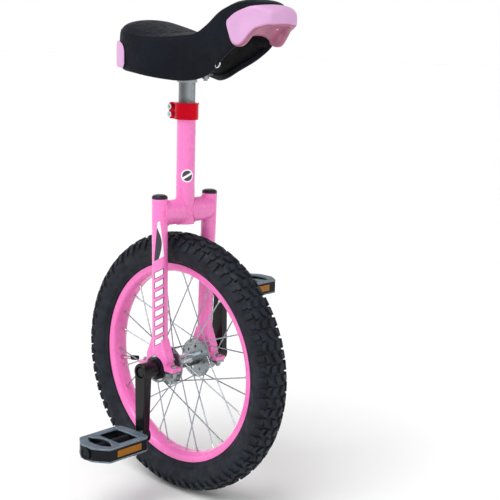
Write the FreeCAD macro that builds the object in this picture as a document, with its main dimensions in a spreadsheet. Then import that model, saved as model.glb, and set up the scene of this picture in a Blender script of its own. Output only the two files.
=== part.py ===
import FreeCAD, Part
import Sketcher
import math
import os

# Unicycle, 16 inch wheel.  Millimetres.  +X is forwards, +Y is the rider's left, +Z is up.
# The origin is the point where the tyre stands on the ground, under the hub.

V = FreeCAD.Vector
doc = FreeCAD.newDocument("unicycle")
sheet = doc.addObject("Spreadsheet::Sheet", "Sheet")

# ---------------------------------------------------------------- driving dimensions
DIMS = [
    ("wheel_rad", 206.5), ("tyre_half", 29.0), ("tread_flat", 12.0), ("tyre_wall", 5.5),
    ("rim_rad", 158.5), ("rim_half", 15.0), ("rim_bead_rad", 152.5), ("rim_well_rad", 149.0), ("rim_inner_rad", 144.5),
    ("tube_ring_rad", 180.5), ("tube_rad", 17.4), ("tube_skin", 1.2),
    ("spoke_rad", 1.0), ("nipple_rad", 2.0), ("spoke_count", 28), ("flange_hole_rad", 28.0), ("rim_hole_side", 2.5),
    ("hub_flange_rad", 31.0), ("hub_flange_thick", 2.6), ("hub_flange_side", 30.5), ("hub_barrel_rad", 11.0),
    ("axle_rad", 8.5), ("axle_half", 62.0), ("square_side", 11.9), ("axle_tip", 84.0),
    ("bearing_side", 48.5), ("bearing_rad", 20.0), ("bearing_wide", 12.0), ("race_outer_in", 16.6), ("race_inner_out", 12.5),
    ("ball_rad", 2.0), ("seal_rad", 17.5),
    ("leg_rad", 12.0), ("leg_wall", 1.8), ("leg_top_side", 53.2), ("leg_low_side", 47.9), ("leg_top_high", 263.7),
    ("crown_low", 222.0), ("crown_tall", 38.0), ("crown_deep", 29.0), ("crown_wall", 2.0),
    ("seat_tube_rad", 14.3), ("seat_tube_bore", 12.75), ("seat_tube_low", 221.0), ("seat_tube_top", 404.0),
    ("post_rad", 12.7), ("post_wall", 2.0), ("post_low", 255.0), ("post_top", 446.0),
    ("clamp_rad", 18.0), ("clamp_low", 380.5), ("clamp_tall", 25.0),
    ("holder_rad", 23.5), ("holder_wide", 20.0), ("ear_half", 38.0), ("ear_thick", 5.0), ("ear_bolt", 31.2), ("ear_web_rad", 5.0),
    ("strap_rad", 22.6), ("strap_wide", 16.0), ("strap_ear", 3.6),
    ("mfive_rad", 2.5), ("mfive_head", 4.6), ("mfive_tall", 3.8),
    ("crank_len", 101.0), ("crank_boss_rad", 13.5), ("crank_in", 62.2), ("crank_out", 90.0), ("crank_arm_in", 77.0),
    ("crank_eye_rad", 12.0), ("pedal_thread_rad", 7.1), ("crank_bolt_rad", 4.0),
    ("pedal_shaft_rad", 6.0), ("pedal_bore_rad", 6.05), ("pedal_half", 35.0), ("pedal_in", 99.0), ("pedal_out", 194.0),
    ("pedal_core_thick", 17.0), ("pedal_plate_thick", 3.0), ("pedal_barrel_rad", 8.2),
    ("valve_rad", 2.9), ("valve_angle", 189.6),
    ("saddle_mid", -48.0), ("saddle_back_a", 66.0), ("saddle_back_b", 72.0), ("bumper_thick", 4.5),
    ("bumper_low", 454.0), ("bumper_top", 494.5), ("base_up", 9.0), ("base_thick", 5.0), ("skirt_thick", 7.0),
]
D = {}
row = 1
for alias, value in DIMS:
    sheet.set("A%d" % row, alias)
    sheet.set("B%d" % row, str(value))
    sheet.setAlias("B%d" % row, alias)
    D[alias] = float(value)
    row += 1

# Saddle stations along X: place, half width, half width at the foot, underside, side crease and ridge heights above the hub
STATIONS = [
    (-113.5, 9.0, 8.0, 461.0, 508.0, 513.0), (-110.0, 24.5, 23.0, 459.0, 510.0, 517.5), (-102.0, 41.0, 39.0, 457.0, 511.5, 522.0),
    (-88.0, 57.0, 54.5, 455.0, 511.5, 526.0), (-70.0, 67.5, 65.0, 452.5, 508.5, 526.0), (-48.0, 72.0, 69.5, 450.0, 505.0, 520.5),
    (-20.0, 70.0, 67.0, 445.5, 502.0, 512.8), (5.0, 61.0, 57.0, 442.3, 502.0, 508.0), (30.0, 51.0, 44.0, 441.8, 504.5, 507.0),
    (55.0, 45.0, 33.5, 445.0, 507.5, 509.5), (80.0, 44.0, 31.5, 455.0, 521.0, 527.0), (105.0, 45.0, 41.0, 471.0, 538.5, 544.5),
    (128.0, 44.0, 43.0, 487.5, 548.0, 555.0), (136.0, 43.4, 40.0, 494.0, 550.0, 556.5), (142.0, 42.6, 36.0, 505.0, 551.0, 557.2),
    (150.0, 40.6, 33.0, 514.5, 551.5, 557.3), (161.0, 34.0, 28.0, 519.5, 549.5, 555.0), (171.0, 22.0, 18.0, 525.0, 546.0, 551.5),
]
HANDLE = [
    (122.5, 46.0, 517.0, 518.0, 528.5, 529.0), (127.0, 46.3, 505.0, 508.0, 532.5, 533.0), (131.5, 46.6, 496.5, 506.0, 535.5, 536.0),
    (137.0, 46.6, 492.4, 506.5, 538.5, 539.0), (146.0, 46.3, 492.0, 509.0, 542.0, 542.5), (152.0, 45.5, 496.0, 511.5, 544.0, 544.5),
    (160.0, 43.8, 505.5, 514.5, 546.5, 547.5), (168.0, 41.0, 513.5, 517.5, 548.0, 550.0), (176.0, 37.4, 517.5, 520.0, 547.5, 552.0),
    (183.0, 32.5, 520.3, 521.8, 545.5, 549.5), (187.5, 28.0, 521.8, 523.0, 543.0, 546.0), (189.5, 23.0, 524.5, 525.5, 539.5, 541.5),
]
LETTERS = "abcdefghijklmnopqrstuvwxyz"
for kind, table, cols in (("saddle", STATIONS, ("place", "half", "foot", "under", "crease", "ridge")),
                          ("handle", HANDLE, ("place", "half", "side", "arch", "shoulder", "top"))):
    for i, values in enumerate(table):
        for col, value in zip(cols, values):
            alias = "%s_%s_%s" % (kind, col, LETTERS[i])
            sheet.set("A%d" % row, alias)
            sheet.set("B%d" % row, str(value))
            sheet.setAlias("B%d" % row, alias)
            D[alias] = float(value)
            row += 1
doc.recompute()


class Q:
    """A number that also carries the sheet expression it comes from."""
    def __init__(self, value, text):
        self.v = float(value)
        self.e = text

    def __add__(self, other):
        other = q(other)
        return Q(self.v + other.v, "(%s + %s)" % (self.e, other.e))

    def __sub__(self, other):
        other = q(other)
        return Q(self.v - other.v, "(%s - %s)" % (self.e, other.e))

    def __mul__(self, other):
        other = q(other)
        return Q(self.v * other.v, "(%s * %s)" % (self.e, other.e))

    def __truediv__(self, other):
        other = q(other)
        return Q(self.v / other.v, "(%s / %s)" % (self.e, other.e))

    def __neg__(self):
        return Q(-self.v, "(-1 * %s)" % self.e)

    def __radd__(self, other):
        return q(other) + self

    def __rsub__(self, other):
        return q(other) - self

    def __rmul__(self, other):
        return q(other) * self


def q(value):
    if isinstance(value, Q):
        return value
    return Q(value, "%.6f" % value if value >= 0 else "(-%.6f)" % -value)


def c(alias):
    return Q(D[alias], "Sheet." + alias)


HUB = c("wheel_rad")          # the hub's height above the ground
AXES = {"X": V(1, 0, 0), "Y": V(0, 1, 0), "Z": V(0, 0, 1), "-X": V(-1, 0, 0), "-Y": V(0, -1, 0), "-Z": V(0, 0, -1)}


def bind(obj, prop, value):
    obj.setExpression(prop, q(value).e)


def place(obj, base, direction=V(0, 0, 1), rotation=None):
    if isinstance(direction, str):
        direction = AXES[direction]
    rot = rotation if rotation else FreeCAD.Rotation(V(0, 0, 1), direction)
    obj.Placement = FreeCAD.Placement(V(*[q(b).v for b in base]), rot)
    for axis, b in zip("xyz", base):
        if isinstance(b, Q):
            bind(obj, "Placement.Base." + axis, b)


def cyl(name, r, h, base, direction="Z", rotation=None):
    o = doc.addObject("Part::Cylinder", name)
    bind(o, "Radius", r)
    bind(o, "Height", h)
    place(o, base, direction, rotation)
    return o


def box(name, size, base, rotation=None):
    o = doc.addObject("Part::Box", name)
    for prop, s in zip(("Length", "Width", "Height"), size):
        bind(o, prop, s)
    place(o, base, "Z", rotation)
    return o


def hexa(name, r, h, base, direction="Z"):
    o = doc.addObject("Part::Prism", name)
    o.Polygon = 6
    bind(o, "Circumradius", r)
    bind(o, "Height", h)
    place(o, base, direction)
    return o


def ball(name, r, base):
    o = doc.addObject("Part::Sphere", name)
    bind(o, "Radius", r)
    place(o, base)
    return o


def cut(name, base, *tools):
    last = base
    for i, t in enumerate(tools):
        o = doc.addObject("Part::Cut", name if i == len(tools) - 1 else name + "_step%d" % i)
        o.Base = last
        o.Tool = t
        last = o
    return last


def fuse(name, *parts):
    o = doc.addObject("Part::MultiFuse", name)
    o.Shapes = list(parts)
    o.Refine = True
    return o


def common(name, *parts):
    o = doc.addObject("Part::MultiCommon", name)
    o.Shapes = list(parts)
    return o


def group(name, *parts):
    o = doc.addObject("Part::Compound", name)
    o.Links = list(parts)
    return o


def shape(name, s):
    o = doc.addObject("Part::Feature", name)
    o.Shape = s
    return o


def soften(name, base, r, pick):
    """Round the edges that pick() chooses; keep the sharp solid if the fillet cannot be built."""
    doc.recompute()
    idx = [i + 1 for i, e in enumerate(base.Shape.Edges) if pick(e)]
    o = doc.addObject("Part::Fillet", name)
    o.Base = base
    o.Edges = [(i, r, r) for i in idx]
    doc.recompute()
    if not idx or o.Shape.isNull() or not o.Shape.isValid() or o.Shape.Volume < 0.8 * base.Shape.Volume:
        print("fillet left off:", name, len(idx))
        doc.removeObject(o.Name)
        return shape(name, base.Shape.copy())
    return o


def plane_of(body, role):
    for f in body.Origin.OriginFeatures:
        if f.Role == role:
            return f
    raise ValueError(role)


def outline(body, role, *loops):
    """A fully constrained sketch of closed polygons; every vertex is tied to the sheet."""
    sk = body.newObject("Sketcher::SketchObject", body.Name + "_sketch")
    sk.AttachmentSupport = [(plane_of(body, role), "")]
    sk.MapMode = "FlatFace"
    for loop in loops:
        loop = [(q(x), q(y)) for x, y in loop]
        n = len(loop)
        start = sk.GeometryCount
        sk.addGeometry([Part.LineSegment(V(loop[i][0].v, loop[i][1].v, 0), V(loop[(i + 1) % n][0].v, loop[(i + 1) % n][1].v, 0))
                        for i in range(n)], False)
        cons = [Sketcher.Constraint("Coincident", start + i, 2, start + (i + 1) % n, 1) for i in range(n)]
        exprs = []
        at = sk.ConstraintCount + n
        for i, (x, y) in enumerate(loop):
            for kind, val, axis in (("DistanceX", x, -2), ("DistanceY", y, -1)):
                if abs(val.v) < 1e-9:
                    cons.append(Sketcher.Constraint("PointOnObject", start + i, 1, axis))
                else:
                    cons.append(Sketcher.Constraint(kind, -1, 1, start + i, 1, val.v))
                    exprs.append((at, val))
                at += 1
        sk.addConstraint(cons)
        for i, val in exprs:
            sk.setExpression("Constraints[%d]" % i, val.e)
    return sk


def revolved(name, role, axis, base, *loops, rotation=None):
    body = doc.addObject("PartDesign::Body", name)
    sk = outline(body, role, *loops)
    rev = body.newObject("PartDesign::Revolution", name + "_rev")
    rev.Profile = sk
    rev.ReferenceAxis = (sk, [axis])
    rev.Angle = 360.0
    place(body, base, "Z", rotation)
    return body


def padded(name, length, base, *loops):
    """Closed polygons in the XY plane, padded evenly to both sides of it."""
    body = doc.addObject("PartDesign::Body", name)
    sk = outline(body, "XY_Plane", *loops)
    pad = body.newObject("PartDesign::Pad", name + "_pad")
    pad.Profile = sk
    pad.Midplane = True
    bind(pad, "Length", length)
    place(body, base)
    return body


def mirror_loop(half):
    """Close a half profile (x >= 0 side first) with its mirror image in x."""
    return list(half) + [(-q(x), y) for x, y in reversed(half) if abs(q(x).v) > 1e-9]


def ring(name, ro, ri, wide, side):
    """A flat ring about the wheel's axis, wide along Y and centred at Y = side."""
    a = cyl(name + "_out", ro, wide, (0, q(side) - q(wide) / 2, HUB), "Y")
    b = cyl(name + "_in", ri, q(wide) + 2, (0, q(side) - q(wide) / 2 - 1, HUB), "Y")
    return cut(name, a, b)


# ================================================================ frame
seat_tube = cut("seat_tube",
                cyl("seat_tube_out", c("seat_tube_rad"), c("seat_tube_top") - c("seat_tube_low"), (0, 0, HUB + c("seat_tube_low"))),
                cyl("seat_tube_in", c("seat_tube_bore"), c("seat_tube_top") - c("seat_tube_low") + 2, (0, 0, HUB + c("seat_tube_low") - 1)),
                box("seat_tube_slit", (10, 3, 40), (-18, -1.5, HUB + c("seat_tube_top") - 38)))


def oval(name, tall, deep):
    e = doc.addObject("Part::Ellipse", name + "_oval")
    bind(e, "MajorRadius", q(tall) / 2)
    bind(e, "MinorRadius", q(deep) / 2)
    place(e, (0, -60, HUB + c("crown_low") + c("crown_tall") / 2), "Z",
          FreeCAD.Rotation(V(0, 0, 1), V(1, 0, 0), V(0, 1, 0), "XYZ"))
    x = doc.addObject("Part::Extrusion", name)
    x.Base = e
    x.DirMode = "Custom"
    x.Dir = V(0, 1, 0)
    x.LengthFwd = 120
    x.Solid = True
    return x


leg_bottom = {}
leg_dir = {}
leg_len = {}
for side, s in (("left", 1), ("right", -1)):
    lo = V(0, s * D["leg_low_side"], D["wheel_rad"])
    hi = V(0, s * D["leg_top_side"], D["wheel_rad"] + D["leg_top_high"])
    leg_bottom[side], leg_dir[side], leg_len[side] = lo, (hi - lo).normalize(), (hi - lo).Length


def leg_rod(name, side, r, extra=0.0):
    s = 1 if side == "left" else -1
    d = leg_dir[side]
    o = doc.addObject("Part::Cylinder", name)
    bind(o, "Radius", r)
    slope = "sqrt(Sheet.leg_top_high * Sheet.leg_top_high + (Sheet.leg_top_side - Sheet.leg_low_side) * (Sheet.leg_top_side - Sheet.leg_low_side))"
    o.setExpression("Height", "%s + %.3f" % (slope, extra))
    place(o, (0, c("leg_low_side") * s, HUB), d)
    return o


crown_skin = cut("crown_skin", oval("crown_outer", c("crown_tall"), c("crown_deep")),
                 oval("crown_inner", c("crown_tall") - 2 * c("crown_wall"), c("crown_deep") - 2 * c("crown_wall")))
crown_span = common("crown_span", crown_skin,
                    box("crown_limits", (60, 2 * c("leg_top_side"), 60), (-30, -c("leg_top_side"), HUB + c("crown_low") - 5)))
fork_crown = cut("fork_crown", crown_span,
                 cyl("crown_seat_cut", c("seat_tube_rad"), 80, (0, 0, HUB + c("crown_low") - 20)),
                 leg_rod("crown_leg_cut_a", "left", c("leg_rad"), 5), leg_rod("crown_leg_cut_b", "right", c("leg_rad"), 5))

for side, s in (("left", 1), ("right", -1)):
    cope = cyl("leg_cope_" + side, c("holder_rad"), 60, (0, s * c("bearing_side") - 30, HUB), "Y")
    cut("fork_leg_" + side, leg_rod("leg_out_" + side, side, c("leg_rad")),
        leg_rod("leg_in_" + side, side, c("leg_rad") - c("leg_wall"), 2), cope)
    top = (0, s * c("leg_top_side"), HUB + c("leg_top_high"))
    rot = FreeCAD.Rotation(V(0, 0, 1), leg_dir[side])
    r = c("leg_rad")
    body = doc.addObject("PartDesign::Body", "leg_cap_" + side)
    sk = outline(body, "XZ_Plane", [(0, -12), (r - c("leg_wall") - 0.1, -12), (r - c("leg_wall") - 0.1, 0), (r, 0), (r, 2.2), (r - 0.5, 3.6),
                                    (r - 1.8, 4.9), (r - 4, 5.9), (r - 7, 6.5), (0, 6.8)])
    rev = body.newObject("PartDesign::Revolution", "leg_cap_rev_" + side)
    rev.Profile = sk
    rev.ReferenceAxis = (sk, ["V_Axis"])
    rev.Angle = 360.0
    place(body, top, "Z", rot)

    # bearing holder: an arch over the bearing with an ear each side, webbed into the arch
    y0 = s * c("bearing_side") - c("holder_wide") / 2
    arch = cyl("holder_arch_" + side, c("holder_rad"), c("holder_wide"), (0, y0, HUB), "Y")
    ears = box("holder_ears_" + side, (2 * c("ear_half"), c("holder_wide"), c("ear_thick")), (-c("ear_half"), y0, HUB + 0.4))
    webs = box("holder_webs_" + side, (53.4, c("holder_wide"), 9.7), (-26.7, y0, HUB))
    gusset = padded("holder_gusset_" + side, 15.0, (0, 0, 0), [(11.5, 47), (14, 40), (17.5, 31), (22, 21), (22, 8), (-22, 8), (-22, 21), (-17.5, 31), (-14, 40), (-11.5, 47)])
    place(gusset, (0, s * c("bearing_side"), HUB), "Z", FreeCAD.Rotation(V(1, 0, 0), 90))
    gusset_cut = cut("holder_gusset_cut_" + side, gusset, leg_rod("holder_leg_cut_" + side, side, c("leg_rad") + 0.02, 5))
    solid = fuse("holder_solid_" + side, arch, ears, webs, gusset_cut)
    carve = [cyl("holder_web_%s_%d" % (side, i), c("ear_web_rad"), c("holder_wide") + 2, (x, y0 - 1, HUB + 10), "Y")
             for i, x in enumerate((-26.7, 26.7))]
    holes = [cyl("holder_hole_%s_%d" % (side, i), c("mfive_rad") + 0.3, 20, (x * c("ear_bolt"), s * c("bearing_side"), HUB - 5))
             for i, x in enumerate((-1, 1))]
    sharp = cut("holder_sharp_" + side, solid, *carve,
                cyl("holder_bore_" + side, c("bearing_rad"), c("holder_wide") + 2, (0, y0 - 1, HUB), "Y"),
                box("holder_under_" + side, (100, 60, 40.4), (-50, s * c("bearing_side") - 30, HUB - 40)), *holes)
    soften("bearing_holder_" + side, sharp, 1.6,
           lambda e: abs(e.BoundBox.XMax) > 37 and abs(e.BoundBox.XMin) > 37 and e.BoundBox.YLength < 0.01 and e.BoundBox.ZLength > 3)

    # lower strap of the bearing clamp
    y1 = s * c("bearing_side") - c("strap_wide") / 2
    strap = fuse("strap_solid_" + side, cyl("strap_arc_" + side, c("strap_rad"), c("strap_wide"), (0, y1, HUB), "Y"),
                 box("strap_ears_" + side, (2 * c("ear_half") - 2, c("strap_wide"), c("strap_ear")), (-c("ear_half") + 1, y1, HUB - c("strap_ear") - 0.4)))
    cut("bearing_cap_" + side, strap,
        cyl("strap_bore_" + side, c("bearing_rad"), c("strap_wide") + 2, (0, y1 - 1, HUB), "Y"),
        box("strap_over_" + side, (100, 60, 40.4), (-50, s * c("bearing_side") - 30, HUB - 0.4)),
        *[cyl("strap_hole_%s_%d" % (side, i), c("mfive_rad") + 0.3, 20, (x * c("ear_bolt"), s * c("bearing_side"), HUB - 12))
          for i, x in enumerate((-1, 1))])

bolts, nuts = [], []
for side, s in (("left", 1), ("right", -1)):
    for k, x in (("f", 1), ("b", -1)):
        at = (x * c("ear_bolt"), s * c("bearing_side"))
        top = HUB + c("ear_thick") + 0.4
        bolts.append(fuse("bearing_bolt_%s_%s" % (side, k), hexa("bearing_bolt_head_%s_%s" % (side, k), c("mfive_head"), c("mfive_tall"), at + (top,)),
                          cyl("bearing_bolt_shank_%s_%s" % (side, k), c("mfive_rad"), 16, at + (top - 16,))))
        low = HUB - c("strap_ear") - 0.4 - 4
        nuts.append(cut("bearing_nut_%s_%s" % (side, k), hexa("bearing_nut_hex_%s_%s" % (side, k), c("mfive_head"), 4, at + (low,)),
                        cyl("bearing_nut_hole_%s_%s" % (side, k), c("mfive_rad"), 6, at + (low - 1,))))
group("bearing_bolts", *bolts)
group("bearing_nuts", *nuts)
group("bearing_outer_rings", ring("outer_ring_left", c("bearing_rad"), c("race_outer_in"), c("bearing_wide"), c("bearing_side")),
      ring("outer_ring_right", c("bearing_rad"), c("race_outer_in"), c("bearing_wide"), -c("bearing_side")))

# seat clamp: a split collar with two cross bolts in its ears behind the tube
zc = HUB + c("clamp_low")
clamp_solid = fuse("clamp_solid", cyl("clamp_out", c("clamp_rad"), c("clamp_tall"), (0, 0, zc)),
                   box("clamp_ears", (16, 19, c("clamp_tall")), (-29, -9.5, zc)),
                   cyl("clamp_lip", c("clamp_rad") + 0.8, 2.2, (0, 0, zc + c("clamp_tall") - 2.2)))
clamp_cuts = [cyl("clamp_bore", c("seat_tube_rad"), c("clamp_tall") + 2, (0, 0, zc - 1)),
              box("clamp_slit", (20, 3, c("clamp_tall") + 2), (-31, -1.5, zc - 1))]
for i, h in enumerate((6.8, 18.2)):
    clamp_cuts.append(cyl("clamp_hole_%d" % i, 2.8, 40, (-23.2, -20, zc + h), "Y"))
clamp_sharp = cut("clamp_sharp", clamp_solid, *clamp_cuts)
soften("seat_clamp", clamp_sharp, 4.5, lambda e: e.BoundBox.XMax < -28.9 and e.BoundBox.ZLength < 0.1 and e.BoundBox.YLength > 5)
cb, cn = [], []
for i, h in enumerate((6.8, 18.2)):
    z = zc + h
    sharp = fuse("clamp_bolt_%d" % i, cyl("clamp_bolt_head_%d" % i, 4.3, 4.6, (-23.2, -14.1, z), "Y"), cyl("clamp_bolt_shank_%d" % i, 2.5, 24, (-23.2, -9.6, z), "Y"))
    cb.append(cut("clamp_bolt_hex_%d" % i, sharp, hexa("clamp_bolt_key_%d" % i, 2.3, 2.6, (-23.2, -14.2, z), "Y")))
    cn.append(cut("clamp_nut_%d" % i, hexa("clamp_nut_hex_%d" % i, 4.6, 4, (-23.2, 9.5, z), "Y"), cyl("clamp_nut_hole_%d" % i, 2.5, 6, (-23.2, 9, z), "Y")))
group("clamp_bolts", *cb)
group("clamp_nuts", *cn)

# ================================================================ wheel
wr, th, rr, bead = c("wheel_rad"), c("tyre_half"), c("rim_rad"), c("rim_bead_rad")
tyre_half_loop = [(0, wr), (c("tread_flat"), wr - 0.6), (th - 9, wr - 3.2), (th - 3, wr - 8), (th, wr - 15), (th - 1.6, wr - 24), (th - 3.4, rr + 14),
                  (th - 8, rr + 6), (c("rim_half") + 1, rr + 1.2), (c("rim_half") - 2.8, rr + 0.8), (c("rim_half") - 2.8, bead), (7.6, bead),
                  (8.4, rr + 3), (th - 12.5, rr + 8.5), (th - 8.5, rr + 15.5), (th - 6.6, wr - 23), (th - 7.5, wr - 15.5), (c("tread_flat") + 4, wr - 9.5), (0, wr - 7.5)]
# the carcass is one closed C-shaped section: outside from bead to bead, then back along the inside
outer_half = tyre_half_loop[:12]
inner_half = tyre_half_loop[12:]
loop = [(x, y) for x, y in reversed(outer_half[1:])] + [outer_half[0]] + [(-q(x), y) for x, y in outer_half[1:]] + \
       [(-q(x), y) for x, y in inner_half[:-1]] + [inner_half[-1]] + [(x, y) for x, y in reversed(inner_half[:-1])]
revolved("tyre", "YZ_Plane", "H_Axis", (0, 0, HUB), loop)

rh = c("rim_half")
rim_half_loop = [(0, c("rim_inner_rad")), (6, c("rim_inner_rad")), (rh - 3.2, c("rim_inner_rad") + 2.6), (rh - 0.8, rr - 9), (rh, rr - 5), (rh, rr), (rh - 1.6, rr + 0.2),
                 (rh - 2.6, rr - 0.8), (rh - 2.6, bead), (7.6, bead), (6.2, c("rim_well_rad")), (0, c("rim_well_rad"))]
full = [(x, y) for x, y in rim_half_loop[1:-1]] + [(-q(x), y) for x, y in reversed(rim_half_loop[1:-1])]
rim_hoop = revolved("rim_hoop", "YZ_Plane", "H_Axis", (0, 0, HUB), full)

torus_out = doc.addObject("Part::Torus", "inner_tube_out")
bind(torus_out, "Radius1", c("tube_ring_rad"))
bind(torus_out, "Radius2", c("tube_rad"))
place(torus_out, (0, 0, HUB), "Y")
torus_in = doc.addObject("Part::Torus", "inner_tube_in")
bind(torus_in, "Radius1", c("tube_ring_rad"))
bind(torus_in, "Radius2", c("tube_rad") - c("tube_skin"))
place(torus_in, (0, 0, HUB), "Y")
cut("inner_tube", torus_out, torus_in)

va = math.radians(D["valve_angle"])
vdir = V(math.cos(va), 0, math.sin(va))
hub_c = V(0, 0, D["wheel_rad"])


def radial(name, r, start, length):
    o = doc.addObject("Part::Cylinder", name)
    bind(o, "Radius", r)
    o.Height = length
    o.Placement = FreeCAD.Placement(hub_c + vdir * start, FreeCAD.Rotation(V(0, 0, 1), vdir))
    return o


# spokes: J-bent wires, half of them leaning forwards and half backwards, two crosses
n = int(D["spoke_count"])
step = 360.0 / n
phase = D["valve_angle"] + step / 2
sr, nr = D["spoke_rad"], D["nipple_rad"]
spoke_solids, nipple_solids, drills, flange_drills = [], [], [], {1: [], -1: []}
for k in range(n):
    s = 1 if k % 2 == 0 else -1
    j = k // 2
    a_hub = phase + k * step
    lean = 2 if j % 2 == 0 else -2
    a_rim = a_hub + lean * 2 * step
    outside = 1 if j % 2 == 0 else -1
    ah, ar = math.radians(a_hub), math.radians(a_rim)
    root = hub_c + V(math.cos(ah) * D["flange_hole_rad"], 0, math.sin(ah) * D["flange_hole_rad"])
    face = s * (D["hub_flange_side"] + outside * (D["hub_flange_thick"] / 2 + sr + (1.5 if outside > 0 else 0.1)))
    back = s * (D["hub_flange_side"] - outside * (D["hub_flange_thick"] / 2))
    p0 = V(root.x, face, root.z)
    ty = s * D["rim_hole_side"]
    end = hub_c + V(math.cos(ar) * D["rim_well_rad"], ty, math.sin(ar) * D["rim_well_rad"])
    d = (end - p0).normalize()
    through = (V(root.x, back, root.z) - p0)
    wire = Part.makeCylinder(sr, (end - p0).Length - 0.5, p0, d)
    neck = Part.makeCylinder(sr, through.Length + 0.1, p0, through)
    head = Part.makeCylinder(1.9, 1.0, p0 + through * (1 + 0.02 / through.Length), through)
    spoke_solids.append(wire.fuse([neck, head, Part.makeSphere(sr, p0)]).removeSplitter())
    flange_drills[s].append(Part.makeCylinder(sr + 0.15, 12, V(root.x, s * D["hub_flange_side"] - 6, root.z), V(0, 1, 0)))
    shank = Part.makeCylinder(nr, 12.2, end - d * 11.0, d)
    cap = Part.makeCylinder(3.0, 1.2, end + d * 1.05, d)
    core = Part.makeCylinder(sr, (end - p0).Length - 0.5, p0, d)
    nipple_solids.append(shank.fuse(cap).removeSplitter().cut(core))
    drills.append(Part.makeCylinder(nr + 0.15, 16, end - d * 12, d))
shape("spokes", Part.makeCompound(spoke_solids))
shape("spoke_nipples", Part.makeCompound(nipple_solids))
rim_drills = shape("rim_drills", Part.makeCompound(drills))
cut("rim", rim_hoop, rim_drills, radial("rim_valve_hole", c("valve_rad") + 0.2, 135.0, 25.0))
tape = cut("tape_ring", cyl("tape_out", bead + 0.8, 14.8, (0, -7.4, HUB), "Y"), cyl("tape_in", bead, 20, (0, -10, HUB), "Y"))
cut("rim_tape", tape, radial("tape_valve_hole", c("valve_rad") + 0.2, 135.0, 25.0))
stem_rod = radial("stem_rod", c("valve_rad"), 116.0, 163.0 - 116.0)
cut("valve_stem", stem_rod, cyl("stem_tube_clear", 1, 1, (0, 0, 0)))
cut("valve_cap", radial("valve_cap_out", c("valve_rad") + 1.1, 107.0, 13.0), radial("valve_cap_in", c("valve_rad"), 116.0, 10.0))

hb = c("hub_barrel_rad")
hub_rod = cyl("hub_rod", hb, 2 * c("hub_flange_side") + 8, (0, -c("hub_flange_side") - 4, HUB), "Y")
cut("hub_shell", hub_rod, cyl("hub_bore", c("axle_rad"), 2 * c("hub_flange_side") + 12, (0, -c("hub_flange_side") - 6, HUB), "Y"))
for side, s in (("left", 1), ("right", -1)):
    disc = cyl("flange_disc_" + side, c("hub_flange_rad"), c("hub_flange_thick"), (0, s * c("hub_flange_side") - c("hub_flange_thick") / 2, HUB), "Y")
    slots = []
    for i in range(7):
        a = math.radians(phase + i * 360.0 / 7)
        slots.append(Part.makeCylinder(2.6, 12, hub_c + V(18.5 * math.cos(a), s * D["hub_flange_side"] - 6, 18.5 * math.sin(a)), V(0, 1, 0)))
    cut("hub_flange_" + side, disc, cyl("flange_bore_" + side, hb, 12, (0, s * c("hub_flange_side") - 6, HUB), "Y"),
        shape("flange_drills_" + side, Part.makeCompound(flange_drills[s] + slots)))

sq = c("square_side")
axle_rod = cyl("axle_rod", c("axle_rad"), 2 * c("axle_half"), (0, -c("axle_half"), HUB), "Y")
axle_square = box("axle_square", (sq, 2 * c("axle_tip"), sq), (-(sq / 2), -c("axle_tip"), HUB - sq / 2))
axle_solid = fuse("axle_solid", axle_rod, axle_square)
cut("axle", axle_solid,
    cyl("axle_tap_a", c("crank_bolt_rad"), 24, (0, c("axle_tip") - 22, HUB), "Y"),
    cyl("axle_tap_b", c("crank_bolt_rad"), 24, (0, -c("axle_tip") - 2, HUB), "Y"))
group("bearing_inner_rings", ring("inner_ring_left", c("race_inner_out"), c("axle_rad"), c("bearing_wide"), c("bearing_side")),
      ring("inner_ring_right", c("race_inner_out"), c("axle_rad"), c("bearing_wide"), -c("bearing_side")))
balls = []
for side, s in (("left", 1), ("right", -1)):
    for i in range(12):
        a = math.radians(i * 30.0)
        r = D["race_inner_out"] + D["ball_rad"]
        balls.append(ball("ball_%s_%d" % (side, i), c("ball_rad"), (r * math.cos(a), s * c("bearing_side"), HUB + r * math.sin(a))))
group("bearing_balls", *balls)
group("dust_seals", ring("seal_left", c("seal_rad"), c("axle_rad"), 4.0, c("bearing_side") + c("bearing_wide") / 2 + 2.6),
      ring("seal_right", c("seal_rad"), c("axle_rad"), 4.0, -c("bearing_side") - c("bearing_wide") / 2 - 2.6))

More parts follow.
